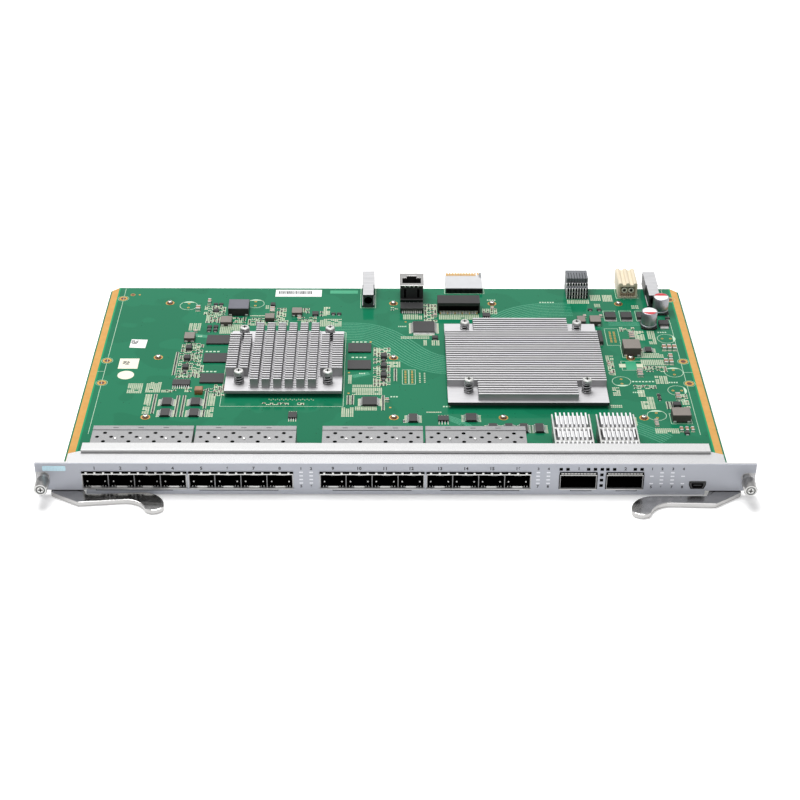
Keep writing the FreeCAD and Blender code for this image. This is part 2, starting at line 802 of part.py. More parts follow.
def lever_outline():
    """The right lever seen from above: hook, arm, slanted heel, boss and claw."""
    px, py = lever_pivot
    ox, oy = lever_hook_outer_centre
    ix, iy = lever_hook_inner_centre
    outer, inner = lever_hook_outer_radius, lever_hook_inner_radius

    def arc(centre, radius, start, end, steps):
        """Points evenly along an arc between two angles."""
        angles = [start + (end - start) * step / steps for step in range(steps + 1)]
        return [Vector(centre[0] + radius * math.cos(a), centre[1] + radius * math.sin(a), 0) for a in angles]

    tip_angle = math.pi - math.asin((lever_tip_start - iy) / inner)
    outer_arc = arc((ox, oy), outer, math.pi / 2, math.pi, lever_arc_steps)
    inner_arc = arc((ix, iy), inner, tip_angle, math.pi / 2, lever_arc_steps)
    boss_arc = arc((px, py), lever_boss_radius, math.pi / 2, math.pi, lever_arc_steps)
    tip_start, tip_end = outer_arc[-1], inner_arc[0]
    middle, half = (tip_start + tip_end) * 0.5, (tip_end - tip_start) * 0.5
    bulge = Vector(half.y, -half.x, 0) * (2 * lever_tip_bulge)
    tip_turns = [math.pi * (1 - step / lever_arc_steps) for step in range(1, lever_arc_steps)]
    tip_arc = [middle + half * math.cos(turn) + bulge * math.sin(turn) for turn in tip_turns]
    claw_x, claw_front = px + claw_reach, panel_rear + claw_gap
    claw_rear = claw_front + claw_length
    heel = [Vector(*lever_corner, 0), Vector(lever_heel, -beyond, 0), Vector(lever_heel, panel_rear, 0),
            Vector(lever_heel + beyond, claw_front, 0), Vector(claw_x, claw_front, 0),
            Vector(claw_x, claw_rear, 0), Vector(claw_x - lever_boss_radius, claw_rear, 0)]
    neck = [Vector(lever_shoulder, outer_arc[0].y, 0)]
    return outer_arc + tip_arc + inner_arc + heel + boss_arc + neck


def ejector_lever():
    """The right lever: a flat plate with a pivot bore and a recess for the rivet head."""
    px, py = lever_pivot
    plate = extruded(lever_outline(), Vector(0, 0, lever_thickness))
    plate.translate(Vector(0, 0, lever_bottom))
    bore = post(px, py, pivot_radius + pivot_clearance, lever_bottom - beyond, lever_top + beyond)
    recess = stud(px, py, around(pivot_head_radius, pivot_head_gap, collar_sides), lever_bottom - beyond,
                  lever_bottom + pivot_head_height + pivot_clearance, collar_sides)
    return without(plate, [bore, recess])


def lever_bracket():
    """The right bracket: an angle on the back of the panel that carries the pivot rivet."""
    px, py = lever_pivot
    x0, x1 = px - bracket_width / 2, px + bracket_width / 2
    bottom = lever_top + bracket_gap
    plate = block(x0, x1, panel_rear, py + bracket_width / 2, bottom, bottom + bracket_thickness)
    tab = block(x0, min(x1, screw_x - retainer_radius - beyond), panel_rear, panel_rear + bracket_thickness,
                bottom, bottom + bracket_height)
    bore = post(px, py, pivot_radius, bottom - beyond, bottom + bracket_thickness + beyond)
    return without(joined([plate, tab]), [bore])


def pivot_rivet():
    """The right pivot rivet, its head sunk in the lever and its end fast in the bracket."""
    px, py = lever_pivot
    top = lever_top + bracket_gap + bracket_thickness
    shank = post(px, py, pivot_radius, lever_bottom, top)
    head = stud(px, py, pivot_head_radius, lever_bottom, lever_bottom + pivot_head_height, collar_sides)
    return joined([shank, head])


def captive_screw():
    """The right captive screw: fluted hollow knob with a cross recess, and a long shank."""
    rear = knob_front + knob_length
    rim = round_of(1, 2 * knob_flutes)
    depths = (knob_radius, knob_radius - knob_flute_depth)
    knob = extruded([Vector(screw_x + u * depths[corner % 2], knob_front, screw_z + v * depths[corner % 2])
                     for corner, (u, v) in enumerate(rim)], Vector(0, knob_length, 0))
    hollow = bar(screw_x, screw_z, around(ferrule_radius, sliding_gap, collar_sides),
                 knob_front + knob_nose, rear + beyond, collar_sides)
    groove_front = panel_rear + sliding_gap
    groove_rear = groove_front + retainer_thickness + 2 * sliding_gap
    shank = bar(screw_x, screw_z, screw_thread_radius, knob_front + knob_nose, groove_front, shank_sides)
    core = rod(screw_x, screw_z, screw_thread_radius - retainer_groove, groove_front, groove_rear)
    end = bar(screw_x, screw_z, screw_thread_radius, groove_rear, screw_rear, shank_sides)
    recess = [block_at(screw_x, knob_front, w, 2 * beyond, screw_z - h / 2, screw_z + h / 2)
              for w, h in ((recess_span, recess_width), (recess_width, recess_span))]
    return joined([without(knob, [hollow] + recess), shank, core, end])


def screw_ferrule():
    """The right ferrule: the smooth collar pressed into the panel that the screw slides in."""
    body = bar(screw_x, screw_z, ferrule_radius, ferrule_front, panel_rear, collar_sides)
    bore = bar(screw_x, screw_z, around(screw_thread_radius, sliding_gap, shank_sides),
               ferrule_front - beyond, panel_rear + beyond, shank_sides)
    return without(body, [bore])


def screw_retainer():
    """The right retaining ring, which stops the shank from pulling out of the ferrule."""
    y0 = panel_rear + 2 * sliding_gap
    body = bar(screw_x, screw_z, retainer_radius, y0, y0 + retainer_thickness, shank_sides)
    bore = bar(screw_x, screw_z, around(screw_thread_radius - retainer_groove, sliding_gap, shank_sides),
               y0 - beyond, y0 + retainer_thickness + beyond, shank_sides)
    return without(body, [bore])


def screw_spring():
    """The right coil spring inside the knob."""
    front = knob_front + knob_nose
    spring = coil(0, 0, inner_spring_radius, inner_spring_wire, 0, ferrule_front - front,
                  inner_spring_turns, spring_sides)
    spring.rotate(Vector(0, 0, 0), Vector(1, 0, 0), -90)
    spring.translate(Vector(screw_x, front, screw_z))
    return spring


def status_lights():
    """One clear bar in each slot, against the back of the overlay."""
    return Part.makeCompound([block(x0, x1, overlay_thickness, overlay_thickness + light_depth, z0, z1)
                              for x0, x1, z0, z1 in light_slots(0)])


def service_socket():
    """The small service socket: a shell with cut corners and a contact tongue."""
    front, rear = overlay_thickness / 2, overlay_thickness / 2 + usb_depth
    x, z = usb_centre
    shell = usb_profile(0, front, rear)
    cavity = usb_profile(-usb_shell, front - beyond, rear - 2 * usb_shell)
    tongue = block(x - usb_width / 4, x + usb_width / 4, front + beyond, rear - usb_shell,
                   z - usb_shell, z + usb_shell)
    foot = block(x - usb_width / 2, x + usb_width / 2, board_front, rear, 0, z - usb_height / 2 + usb_corner)
    return joined([without(shell, [cavity]), tongue, without(foot, [usb_profile(0, 0, rear + beyond)])])


def guide_module(x):
    """A die cast guide block with a bore for the chassis pin and a wider rear half."""
    half, rear = guide_width / 2, guide_front + guide_length
    body = block(x - half, x + half, guide_front, rear, 0, guide_height)
    cuts = [rod(x, guide_bore_height, guide_bore_radius, guide_front - beyond, rear + beyond)]
    for side in (-1, 1):
        x0, x1 = sorted((x + side * (half - guide_step), x + side * (half + beyond)))
        cuts.append(block(x0, x1, guide_front - beyond, guide_front + guide_step_depth,
                          guide_foot_height, guide_height + beyond))
    return without(body, cuts)


def service_jack():
    """A jack that opens upwards: black body, bright frame on top, keyed socket."""
    right, rear = jack_left + jack_width, jack_front + jack_depth
    x = (jack_left + right) / 2
    body = block(jack_left, right, jack_front, rear, 0, jack_height)
    edge = jack_frame
    top = block(jack_left - edge, right + edge, jack_front - edge, rear + edge, jack_height, jack_height + edge)
    socket_rear = rear - jack_socket_back
    floor = jack_height - jack_socket_depth
    socket = block(x - jack_socket_width / 2, x + jack_socket_width / 2, socket_rear - jack_key_length
                   - jack_socket_length, socket_rear - jack_key_length, floor, jack_height + 2 * beyond)
    key = block(x - jack_key_width / 2, x + jack_key_width / 2, socket_rear - jack_key_length - beyond,
                socket_rear, floor, jack_height + 2 * beyond)
    return without(body, [socket, key]), without(top, [socket, key])


def option_connector():
    """A low black header with a long slot in front for a stacked board."""
    right, rear = option_left + option_width, option_front + option_depth
    body = block(option_left, right, option_front, rear, 0, option_height)
    low = (option_height - option_slot_height) / 3
    slot = block(option_left + option_slot_inset, right - option_slot_inset, option_front - beyond,
                 option_front + option_slot_depth, low, low + option_slot_height)
    return without(body, [slot])


def signal_connector():
    """A flat header that straddles the rear edge of the board, with a row of contacts."""
    right = signal_left + signal_width
    rear = signal_front + signal_length
    upper = block(signal_left, right, signal_front, rear, 0, signal_height)
    lower = block(signal_left, right, board_rear + sliding_gap, rear, board_bottom - signal_drop, 0)
    pitch = signal_width / (signal_contacts + 1)
    contacts = []
    for contact in range(signal_contacts):
        x = signal_left + (contact + 0.5) * pitch
        contacts.append(block(x, x + pitch / 2, rear, rear + signal_contact_length,
                              signal_height / 2, signal_height))
    return joined([upper, lower]), Part.makeCompound(contacts)


def backplane_connector():
    """Eight upright wafers with sloping fronts, clasped by a shroud at the rear edge."""
    depth = wafer_rear - wafer_front
    profile = [(0, 0), (0, wafer_height * 0.45), (wafer_slope, wafer_height - wafer_step),
               (wafer_slope, wafer_height), (depth, wafer_height), (depth, 0)]
    wafers = []
    for wafer in range(wafer_count):
        x = wafer_left + wafer * wafer_pitch
        wafers.append(extruded([Vector(x, wafer_front + y, z) for y, z in profile],
                               Vector(wafer_thickness, 0, 0)))
    right = wafer_left + (wafer_count - 1) * wafer_pitch + wafer_thickness
    shroud = block(wafer_left, right, wafer_rear, wafer_rear + wafer_shroud, 0, wafer_height)
    slot = (right - wafer_left) / (2 * wafer_slots + 1)
    height = wafer_height / (2 * wafer_slots + 1)
    cuts = []
    for column in range(wafer_slots):
        for row in range(wafer_slots):
            x0 = wafer_left + slot * (2 * column + 1)
            z0 = height * (2 * row + 1)
            cuts.append(block(x0, x0 + slot, wafer_rear + beyond, wafer_rear + wafer_shroud + beyond,
                              z0, z0 + height))
    return joined([without(shroud, cuts)] + wafers)


def power_connector():
    """The power connector: ribbed roof, open contact pocket in front and a mouth behind."""
    right, rear = power_left + power_width, power_front + power_length
    x = (power_left + right) / 2
    section = [(power_left, 0), (power_left, power_height)]
    for step in (-1, 0, 1):
        middle = x + step * (power_width / 2 - power_rib_radius)
        section += [(middle + power_rib_radius * u, power_height + power_rib_radius * v)
                    for u, v in ((-1, 0), (-0.7, 0.7), (0, 1), (0.7, 0.7), (1, 0))]
    section = section[:2] + section[3:-1] + [(right, power_height), (right, 0)]
    body = extruded([Vector(px, power_front, pz) for px, pz in section], Vector(0, power_length, 0))
    inner0, inner1 = power_left + power_wall, right - power_wall
    roof = power_height - power_wall
    pocket = block(inner0, inner1, power_front - beyond, power_front + power_pocket_depth, power_wall, roof)
    mouth = block(inner0, inner1, rear - power_mouth_depth, rear + beyond, power_wall, roof)
    body = without(body, [pocket, mouth])
    sockets = [bar(x + side * power_width / 5, power_height / 2, power_contact_radius, power_front + beyond,
                   power_front + power_pocket_depth + beyond, head_sides) for side in (-1, 1)]
    return joined([body] + sockets)


def electrolytic_capacitors():
    """Two upright cans, each on a square plastic foot."""
    cans = []
    for x, y in capacitor_places:
        can = stud(x, y, capacitor_radius, capacitor_base, capacitor_height, collar_sides)
        foot = block_at(x, y, 2 * capacitor_radius, 2 * capacitor_radius, 0, capacitor_base)
        cans.append(joined([can, foot]))
    return Part.makeCompound(cans)


def coils():
    """The moulded power coils, one plain moulded block each."""
    return Part.makeCompound([block_at(x, y, width, depth, 0, height)
                              for x, y, width, depth, height in coil_places])


def memory_chips():
    """Two columns of memory chips beside the small heatsink."""
    width, depth, height = memory_size
    places = [(memory_left_column, y) for y in memory_left_rows]
    places += [(memory_right_column, y) for y in memory_right_rows]
    return Part.makeCompound([block_at(x, y, width, depth, 0, height) for x, y in places])


def small_chips():
    """The leaded chips spread over the board, and the row of three power chips."""
    chips = [block_at(x, y, width, depth, 0, logic_chip_height) for x, y, width, depth in logic_chips]
    width, depth, height = power_chip_size
    chips += [block_at(x, power_chip_row, width, depth, 0, height) for x in power_chip_columns]
    return Part.makeCompound(chips)


pieces = {
    "circuit_board": circuit_board(),
    "front_panel": front_panel(),
    "face_overlay": face_overlay(),
    "sealing_strip": sealing_strip(),
    "small_heatsink": small_heatsink(),
    "large_heatsink": large_heatsink(),
    "small_chip": block_at(*small_sink_centre, small_chip_size, small_chip_size, 0, small_chip_height),
    "large_chip": block_at(*large_sink_centre, large_chip_size, large_chip_size, 0, large_chip_height),
    "small_sink_screws": spring_screws(small_sink_centre, small_sink_screw_spacing),
    "large_sink_screws": spring_screws(large_sink_centre, large_sink_screw_spacing),
    "small_sink_springs": screw_springs(small_sink_centre, small_sink_screw_spacing,
                                        small_chip_height + small_sink_base),
    "large_sink_springs": screw_springs(large_sink_centre, large_sink_screw_spacing,
                                        large_chip_height + large_sink_base),
    "small_backplate": backplate(small_sink_centre, small_sink_screw_spacing),
    "large_backplate": backplate(large_sink_centre, large_sink_screw_spacing),
    "board_screws": board_screws(),
    "board_spacers": board_spacers(),
    "status_lights": status_lights(),
    "service_socket": service_socket(),
    "option_connector": option_connector(),
    "backplane_connector": backplane_connector(),
    "power_connector": power_connector(),
    "electrolytic_capacitors": electrolytic_capacitors(),
    "power_coils": coils(),
    "memory_chips": memory_chips(),
    "logic_chips": small_chips(),
    "wide_sockets": Part.makeCompound([wide_socket(x) for x in wide_cage_centres]),
    "rider_clips": Part.makeCompound([rider_clip(x) for x in wide_cage_centres]),
    "line_transformer": block(jack_left, jack_left + jack_width, transformer_front,
                              transformer_front + transformer_depth, 0, transformer_height),
}
pieces["service_jack"], pieces["jack_frame"] = service_jack()
pieces["signal_connector"], pieces["signal_contacts"] = signal_connector()
for number, cage_left in enumerate(cage_left_edges, start=1):
    pieces[f"port_cage_{number}"] = port_cage(cage_left)
    pieces[f"port_sockets_{number}"] = port_sockets(cage_left)
for number, centre_x in enumerate(wide_cage_centres, start=1):
    pieces[f"wide_cage_{number}"] = wide_cage(centre_x)
    pieces[f"rider_sink_{number}"] = rider_sink(centre_x)
for side_name, guide_x in zip(("left", "right"), guide_places):
    pieces[f"{side_name}_guide_module"] = guide_module(guide_x)
for name, make in (("ejector_lever", ejector_lever), ("lever_bracket", lever_bracket),
                   ("pivot_rivet", pivot_rivet), ("captive_screw", captive_screw),
                   ("screw_ferrule", screw_ferrule), ("screw_retainer", screw_retainer),
                   ("screw_spring", screw_spring)):
    pieces[f"right_{name}"] = make()
    pieces[f"left_{name}"] = mirrored(make())
# The left lever lies fully closed, the right one stands slightly open
pieces["left_ejector_lever"].rotate(Vector(-lever_pivot[0], lever_pivot[1], 0), Vector(0, 0, 1),
                                    lever_closing_turn)

# The origin: middle of the bottom of everything
reach = Part.makeCompound(list(pieces.values())).optimalBoundingBox(False, False)
origin = Vector((reach.XMin + reach.XMax) / 2, (reach.YMin + reach.YMax) / 2, reach.ZMin)

os.makedirs("parts", exist_ok=True)
for node, shape in pieces.items():
    shape.translate(-origin)
    shape.exportStep(f"parts/{node}.step")
print(f"{len(pieces)} pieces, size {reach.XLength:.2f} x {reach.YLength:.2f} x {reach.ZLength:.2f} mm,",
      f"origin at {origin.x:.3f} {origin.y:.3f} {origin.z:.3f}")
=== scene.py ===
"""The line card as it looks: finishes for its solids, and the fine pieces that they leave out."""
import math
import random

import bmesh
import bpy
from mathutils import Matrix, Vector


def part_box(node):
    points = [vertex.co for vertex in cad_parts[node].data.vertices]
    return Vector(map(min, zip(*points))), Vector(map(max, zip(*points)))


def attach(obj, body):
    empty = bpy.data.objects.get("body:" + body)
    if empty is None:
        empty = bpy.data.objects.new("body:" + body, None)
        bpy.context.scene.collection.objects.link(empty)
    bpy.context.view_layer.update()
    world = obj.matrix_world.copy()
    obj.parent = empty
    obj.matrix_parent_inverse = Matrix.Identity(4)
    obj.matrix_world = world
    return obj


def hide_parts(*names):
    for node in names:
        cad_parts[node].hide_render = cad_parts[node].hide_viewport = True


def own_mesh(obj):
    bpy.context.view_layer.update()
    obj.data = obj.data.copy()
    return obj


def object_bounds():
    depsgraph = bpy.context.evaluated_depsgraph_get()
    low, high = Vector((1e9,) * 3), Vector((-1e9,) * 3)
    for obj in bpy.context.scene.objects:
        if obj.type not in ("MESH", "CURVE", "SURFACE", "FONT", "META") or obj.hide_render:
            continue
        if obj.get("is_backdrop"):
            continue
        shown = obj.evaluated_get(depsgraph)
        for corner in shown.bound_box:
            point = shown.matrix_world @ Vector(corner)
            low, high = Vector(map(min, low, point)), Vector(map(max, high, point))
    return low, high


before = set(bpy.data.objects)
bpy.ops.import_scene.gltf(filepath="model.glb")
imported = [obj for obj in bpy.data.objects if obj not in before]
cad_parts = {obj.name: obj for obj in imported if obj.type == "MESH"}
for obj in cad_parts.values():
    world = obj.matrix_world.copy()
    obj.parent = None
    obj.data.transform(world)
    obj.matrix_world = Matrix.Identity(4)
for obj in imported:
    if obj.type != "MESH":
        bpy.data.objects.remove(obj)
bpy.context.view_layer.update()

# Sizes are in millimetres: right of the card's middle, behind the panel's face, above the board
MM = 0.001
panel_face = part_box("face_overlay")[0].y
board_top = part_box("circuit_board")[1].z
raised_print = 0.03


def at(x, y, z):
    """A place on the card, as a point in the frame."""
    return Vector((x * MM, panel_face + y * MM, board_top + z * MM))


def span(node):
    """The box of a solid as x0, x1, y0, y1, z0, z1."""
    low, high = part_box(node)
    return (low.x / MM, high.x / MM, (low.y - panel_face) / MM, (high.y - panel_face) / MM,
            (low.z - board_top) / MM, (high.z - board_top) / MM)


# Finishes

class Signal:
    """A value that varies over a surface; arithmetic on it adds the nodes that work it out."""

    def __init__(self, wiring, socket):
        self.wiring = wiring
        self.socket = socket

    def worked(self, operation, *values):
        return self.wiring.node("ShaderNodeMath", {"operation": operation}, dict(enumerate(values)))

    def __add__(self, other):
        return self.worked("ADD", self, other)

    def __sub__(self, other):
        return self.worked("SUBTRACT", self, other)

    def __rsub__(self, other):
        return self.worked("SUBTRACT", other, self)

    def __mul__(self, other):
        return self.worked("MULTIPLY", self, other)

    def __gt__(self, other):
        return self.worked("GREATER_THAN", self, other)

    def __lt__(self, other):
        return self.worked("LESS_THAN", self, other)

    def __abs__(self):
        return self.worked("ABSOLUTE", self)

    __radd__ = __add__
    __rmul__ = __mul__


def paint(red, green, blue):
    """A colour as mixed on screen, 0 to 255 each, as the light values that a shader takes."""
    values = [channel / 255 for channel in (red, green, blue)]
    return tuple(c / 12.92 if c <= 0.04045 else ((c + 0.055) / 1.055) ** 2.4 for c in values) + (1.0,)


class Wiring:
    """The nodes of one material or of the surround, and how they are joined."""

    def __init__(self, tree):
        self.nodes = tree.nodes
        self.links = tree.links

    def node(self, kind, settings=None, sockets=None, output=0):
        """Adds a node, with its settings first and then its sockets, and returns one output."""
        added = self.nodes.new(kind)
        for setting, value in (settings or {}).items():
            setattr(added, setting, value)
        for socket, value in (sockets or {}).items():
            self.join(added.inputs[socket], value)
        return Signal(self, added.outputs[output])

    def join(self, socket, value):
        """Links a signal to a socket, or sets a plain value on it."""
        if isinstance(value, Signal):
            self.links.new(value.socket, socket)
        else:
            socket.default_value = value

    def seen_directly(self):
        """1 for what the camera sees, straight or in metal and glass, and 0 for what lights the card."""
        rays = "ShaderNodeLightPath"
        return (self.node(rays, output="Is Camera Ray") + self.node(rays, output="Is Glossy Ray")
                + self.node(rays, output="Is Transmission Ray"))


class Finish(Wiring):
    """A material for one finish. Constants go on the shader, what varies is made of nodes."""

    def __init__(self, name, colour, roughness, metallic=0.0, **constants):
        self.material = bpy.data.materials.new(name)
        self.material.use_nodes = True
        super().__init__(self.material.node_tree)
        self.shader = self.nodes["Principled BSDF"]
        self.set("Base Color", colour)
        self.set("Roughness", roughness)
        self.set("Metallic", metallic)
        for socket, value in constants.items():
            self.set(socket.replace("_", " ").title().replace("Ior", "IOR"), value)

    def set(self, socket, value):
        self.join(self.shader.inputs[socket], value)

    def place(self):
        """Where a point is on the piece, as a vector in metres."""
        return self.node("ShaderNodeTexCoord", output="Object")

    def along(self, axis):
        """How far a point is right of the middle, behind the panel or above the board, in millimetres."""
        origin = at(0, 0, 0)
        moved = self.node("ShaderNodeVectorMath", {"operation": "SUBTRACT"}, {0: self.place(), 1: origin})
        return self.node("ShaderNodeSeparateXYZ", sockets={0: moved}, output=axis) * (1 / MM)

    def noise(self, size, detail=3.0, stretch=(1, 1, 1)):
        """Soft irregular variation whose patches are about the given size in millimetres."""
        scaled = self.node("ShaderNodeVectorMath", {"operation": "MULTIPLY"}, {0: self.place(), 1: stretch})
        return self.node("ShaderNodeTexNoise", sockets={"Vector": scaled, "Scale": 1 / (size * MM),
                                                        "Detail": detail}, output="Fac")

    def cells(self, size, output="Distance"):
        """Scattered cells about the given size apart, in millimetres."""
        return self.node("ShaderNodeTexVoronoi", sockets={"Vector": self.place(), "Scale": 1 / (size * MM)},
                         output=output)

    def facing(self, axis, cosine=0.7):
        """1 where the surface faces along an axis, either way, and 0 elsewhere."""
        normal = self.node("ShaderNodeNewGeometry", output="True Normal")
        return abs(self.node("ShaderNodeSeparateXYZ", sockets={0: normal}, output=axis)) > cosine

    def blended(self, factor, first, second):
        """One colour shading into another."""
        return self.node("ShaderNodeMix", {"data_type": "RGBA"}, {"Factor": factor, 6: first, 7: second}, 2)

    def stepped(self, signal, low, high):
        """0 below low and 1 above high, with a smooth rise between."""
        return self.node("ShaderNodeMapRange", {"interpolation_type": "SMOOTHSTEP"},
                         {"Value": signal, "From Min": low, "From Max": high})

    def rough_between(self, low, high, signal):
        """Lets the roughness follow a signal of 0 to 1."""
        self.set("Roughness", signal * (high - low) + low)

    def bumpy(self, height, depth, strength=1.0):
        """Lifts the surface by a height signal, over a depth in millimetres."""
        self.set("Normal", self.node("ShaderNodeBump", sockets={"Height": height, "Distance": depth * MM,
                                                                "Strength": strength}))


def sheet_metal(name, colour, dark, roughness, grain=(1, 1, 1)):
    """Rolled sheet or machined metal: faint streaks along its grain, and a fine tooth."""
    finish = Finish(name, colour, roughness, metallic=1.0)
    streaks = finish.noise(2.5, 4.0, grain)
    cloudy = finish.noise(14.0, 2.0)
    finish.set("Base Color", finish.blended(streaks * 0.6 + cloudy * 0.4, dark, colour))
    finish.rough_between(roughness - 0.08, roughness + 0.12, streaks)
    finish.bumpy(streaks, 0.02, 0.3)
    return finish.material


def sawn_metal(name, top, wall_tone_and_shade, dark, roughness, wall_shade_below=None, painted_shade_below=None):
    """Extruded or cast metal, bright on its flat tops and darker on its walls. On the heatsinks the bright
    tops are a painted highlight and the darker walls painted shade; on the guide modules they are the
    modules' own pale top and dark sides.

    Under one height the walls carry darker painted shade, and under another everything carries dark painted
    shade.
    """
    finish = Finish(name, top, roughness, metallic=0.35)
    streaks = finish.noise(1.6, 4.0, (0.12, 1, 1))
    cloudy = finish.noise(14.0, 2.0)
    # The wall colour: painted shade on the heatsinks, the own dark sides of the guide modules.
    sides = finish.blended(cloudy, dark, wall_tone_and_shade)
    face = finish.blended(streaks * 0.4, top, sides)
    height = finish.along("Z")
    if wall_shade_below:
        # Painted shade: walls below this height go near black, as the broad sink's base front in shadow.
        sides = finish.blended(height < wall_shade_below, sides, paint(50, 50, 52))
    # Flat tops get the bright colour and walls the darker one, by which way the surface faces: painted
    # highlight and shade on the heatsinks.
    colour = finish.blended(finish.facing("Z"), sides, face)
    if painted_shade_below:
        # Painted shade: everything below this height goes dark green grey, as the shaded gaps between the
        # rider fins.
        colour = finish.blended(height < painted_shade_below, colour, paint(70, 80, 76))
    finish.set("Base Color", colour)
    finish.rough_between(roughness - 0.06, roughness + 0.14, streaks)
    finish.bumpy(streaks, 0.02, 0.3)
    return finish.material


def moulding(name, colour, dark, roughness, gloss=0.5):
    """Moulded plastic with a fine even texture."""
    finish = Finish(name, colour, roughness, specular_ior_level=gloss)
    fine = finish.noise(0.35, 2.0)
    cloudy = finish.noise(6.0, 2.0)
    finish.set("Base Color", finish.blended(cloudy, dark, colour))
    finish.rough_between(roughness - 0.08, roughness + 0.1, fine)
    finish.bumpy(fine, 0.02, 0.25)
    return finish.material


def ink(name, colour, roughness=0.55):
    """Printed ink, a little uneven in its cover."""
    finish = Finish(name, colour, roughness)
    cover = finish.noise(0.5, 3.0)
    thin = tuple(0.86 * channel for channel in colour[:3]) + (1.0,)
    finish.set("Base Color", finish.blended(finish.stepped(cover, 0.3, 0.6), thin, colour))
    finish.rough_between(roughness - 0.05, roughness + 0.1, cover)
    return finish.material


def solder_mask():
    """The board: green lacquer over copper, plated strips along both sides, bare edges."""
    board = Finish("solder_mask", paint(18, 105, 73), 0.1, specular_ior_level=0.12)
    x, z = abs(board.along("X")), board.along("Z")
    _, half, _, _, under, _ = span("circuit_board")
    copper = board.stepped(board.noise(26.0, 1.0), 0.47, 0.5)
    weave = board.noise(0.5, 2.0)
    pour = board.blended(copper, paint(14, 101, 70), paint(19, 107, 75))
    green = board.blended(weave * 0.25, pour, paint(28, 115, 84))
    hole_pitch = 3.4
    dots = board.cells(hole_pitch) < 0.09
    chosen = board.node("ShaderNodeSeparateColor", sockets={0: board.cells(hole_pitch, "Color")}) > 0.55
    dotted = board.blended(dots * chosen, green, paint(8, 60, 44))
    lacquer_line, plating, bare_edge = half - 6.0, half - 5.0, half - 0.9
    strip = (x > plating) * (x < bare_edge)
    line = (x > lacquer_line) * (x < plating)
    edged = board.blended(line, dotted, paint(20, 140, 92))
    plated = board.blended(board.noise(3.0), paint(206, 150, 78), paint(226, 178, 104))
    top = (z > -0.02) + (z < under + 0.02)
    faced = board.blended(strip * top, edged, plated)
    laminate = board.blended(board.noise(1.2, 3.0, (1, 1, 6)), paint(176, 160, 84), paint(204, 190, 116))
    board.set("Base Color", board.blended(top, laminate, faced))
    board.set("Metallic", strip * top * 0.6)
    board.rough_between(0.06, 0.14, weave)
    board.bumpy(weave, 0.005, 0.15)
    return board.material


def face_paint():
    """The printed overlay: satin grey film with a fine orange peel."""
    film = Finish("face_film", paint(177, 180, 189), 0.45)
    peel = film.noise(0.4, 2.0)
    cloudy = film.noise(30.0, 2.0)
    film.set("Base Color", film.blended(cloudy, paint(171, 174, 184), paint(183, 186, 194)))
    film.rough_between(0.4, 0.52, peel)
    film.bumpy(peel, 0.02, 0.25)
    return film.material


def gasket_cloth():
    """Metal coated cloth over foam: bright and faintly speckled above, with painted shade on its front
    where it folds down.
    """
    cloth = Finish("gasket_cloth", paint(205, 205, 205), 0.5, metallic=0.2)
    speckle = cloth.noise(0.35, 2.0)
    above = cloth.blended(cloth.stepped(speckle, 0.3, 0.55), paint(172, 172, 172), paint(196, 196, 196))
    # Painted shade: a darker copy of the cloth on the front of the fold.
    shaded_fold = cloth.blended(speckle, paint(150, 150, 150), paint(178, 178, 178))
    cloth.set("Base Color", cloth.blended(cloth.facing("Z", 0.5), shaded_fold, above))
    cloth.rough_between(0.42, 0.6, speckle)
    cloth.bumpy(speckle, 0.03, 0.4)
    return cloth.material


def zinc_sheet(name, pale, speck, roughness):
    """Zinc coated sheet with its fine pale speckle."""
    zinc = Finish(name, pale, roughness, metallic=0.5)
    speckle = zinc.noise(0.4, 3.0)
    cloudy = zinc.noise(9.0, 2.0)
    grains = zinc.blended(zinc.stepped(speckle, 0.38, 0.6), speck, pale)
    zinc.set("Base Color", zinc.blended(cloudy * 0.5, grains, pale))
    zinc.rough_between(roughness - 0.08, roughness + 0.12, speckle)
    zinc.bumpy(speckle, 0.02, 0.3)
    return zinc.material


def chip_epoxy():
    """Black moulding compound, matt with pale grains."""
    epoxy = Finish("chip_epoxy", paint(32, 31, 32), 0.55)
    grains = epoxy.noise(0.3, 4.0)
    pale_grains = epoxy.stepped(grains, 0.45, 0.75)
    epoxy.set("Base Color", epoxy.blended(pale_grains, paint(26, 25, 26), paint(48, 47, 48)))
    epoxy.rough_between(0.45, 0.65, grains)
    epoxy.bumpy(grains, 0.02, 0.3)
    return epoxy.material


def pressed_ferrite():
    """Coils pressed from iron powder: grey brown and grainy, with their sides darkened as painted shade."""
    ferrite = Finish("pressed_ferrite", paint(112, 106, 100), 0.6)
    grains = ferrite.noise(0.4, 4.0)
    skin = ferrite.blended(grains, paint(92, 86, 82), paint(136, 129, 121))
    # Painted shade: the sides are a much darker brown than the tops.
    ferrite.set("Base Color", ferrite.blended(ferrite.facing("Z"), paint(62, 56, 52), skin))
    ferrite.rough_between(0.5, 0.72, grains)
    ferrite.bumpy(grains, 0.04, 0.5)
    return ferrite.material


def light_window(name, colour, painted_glow):
    """A small window printed in the overlay, with a light bar behind it; its faint glow is painted light.
    """
    window = Finish(name, colour, 0.35, emission_strength=painted_glow)
    # Painted light: a faint glow, mottled towards white.
    window.set("Emission Color", window.blended(window.noise(0.6), colour, paint(255, 255, 255)))
    window.set("Base Color", window.blended(window.noise(0.8), colour, paint(238, 238, 242)))
    return window.material


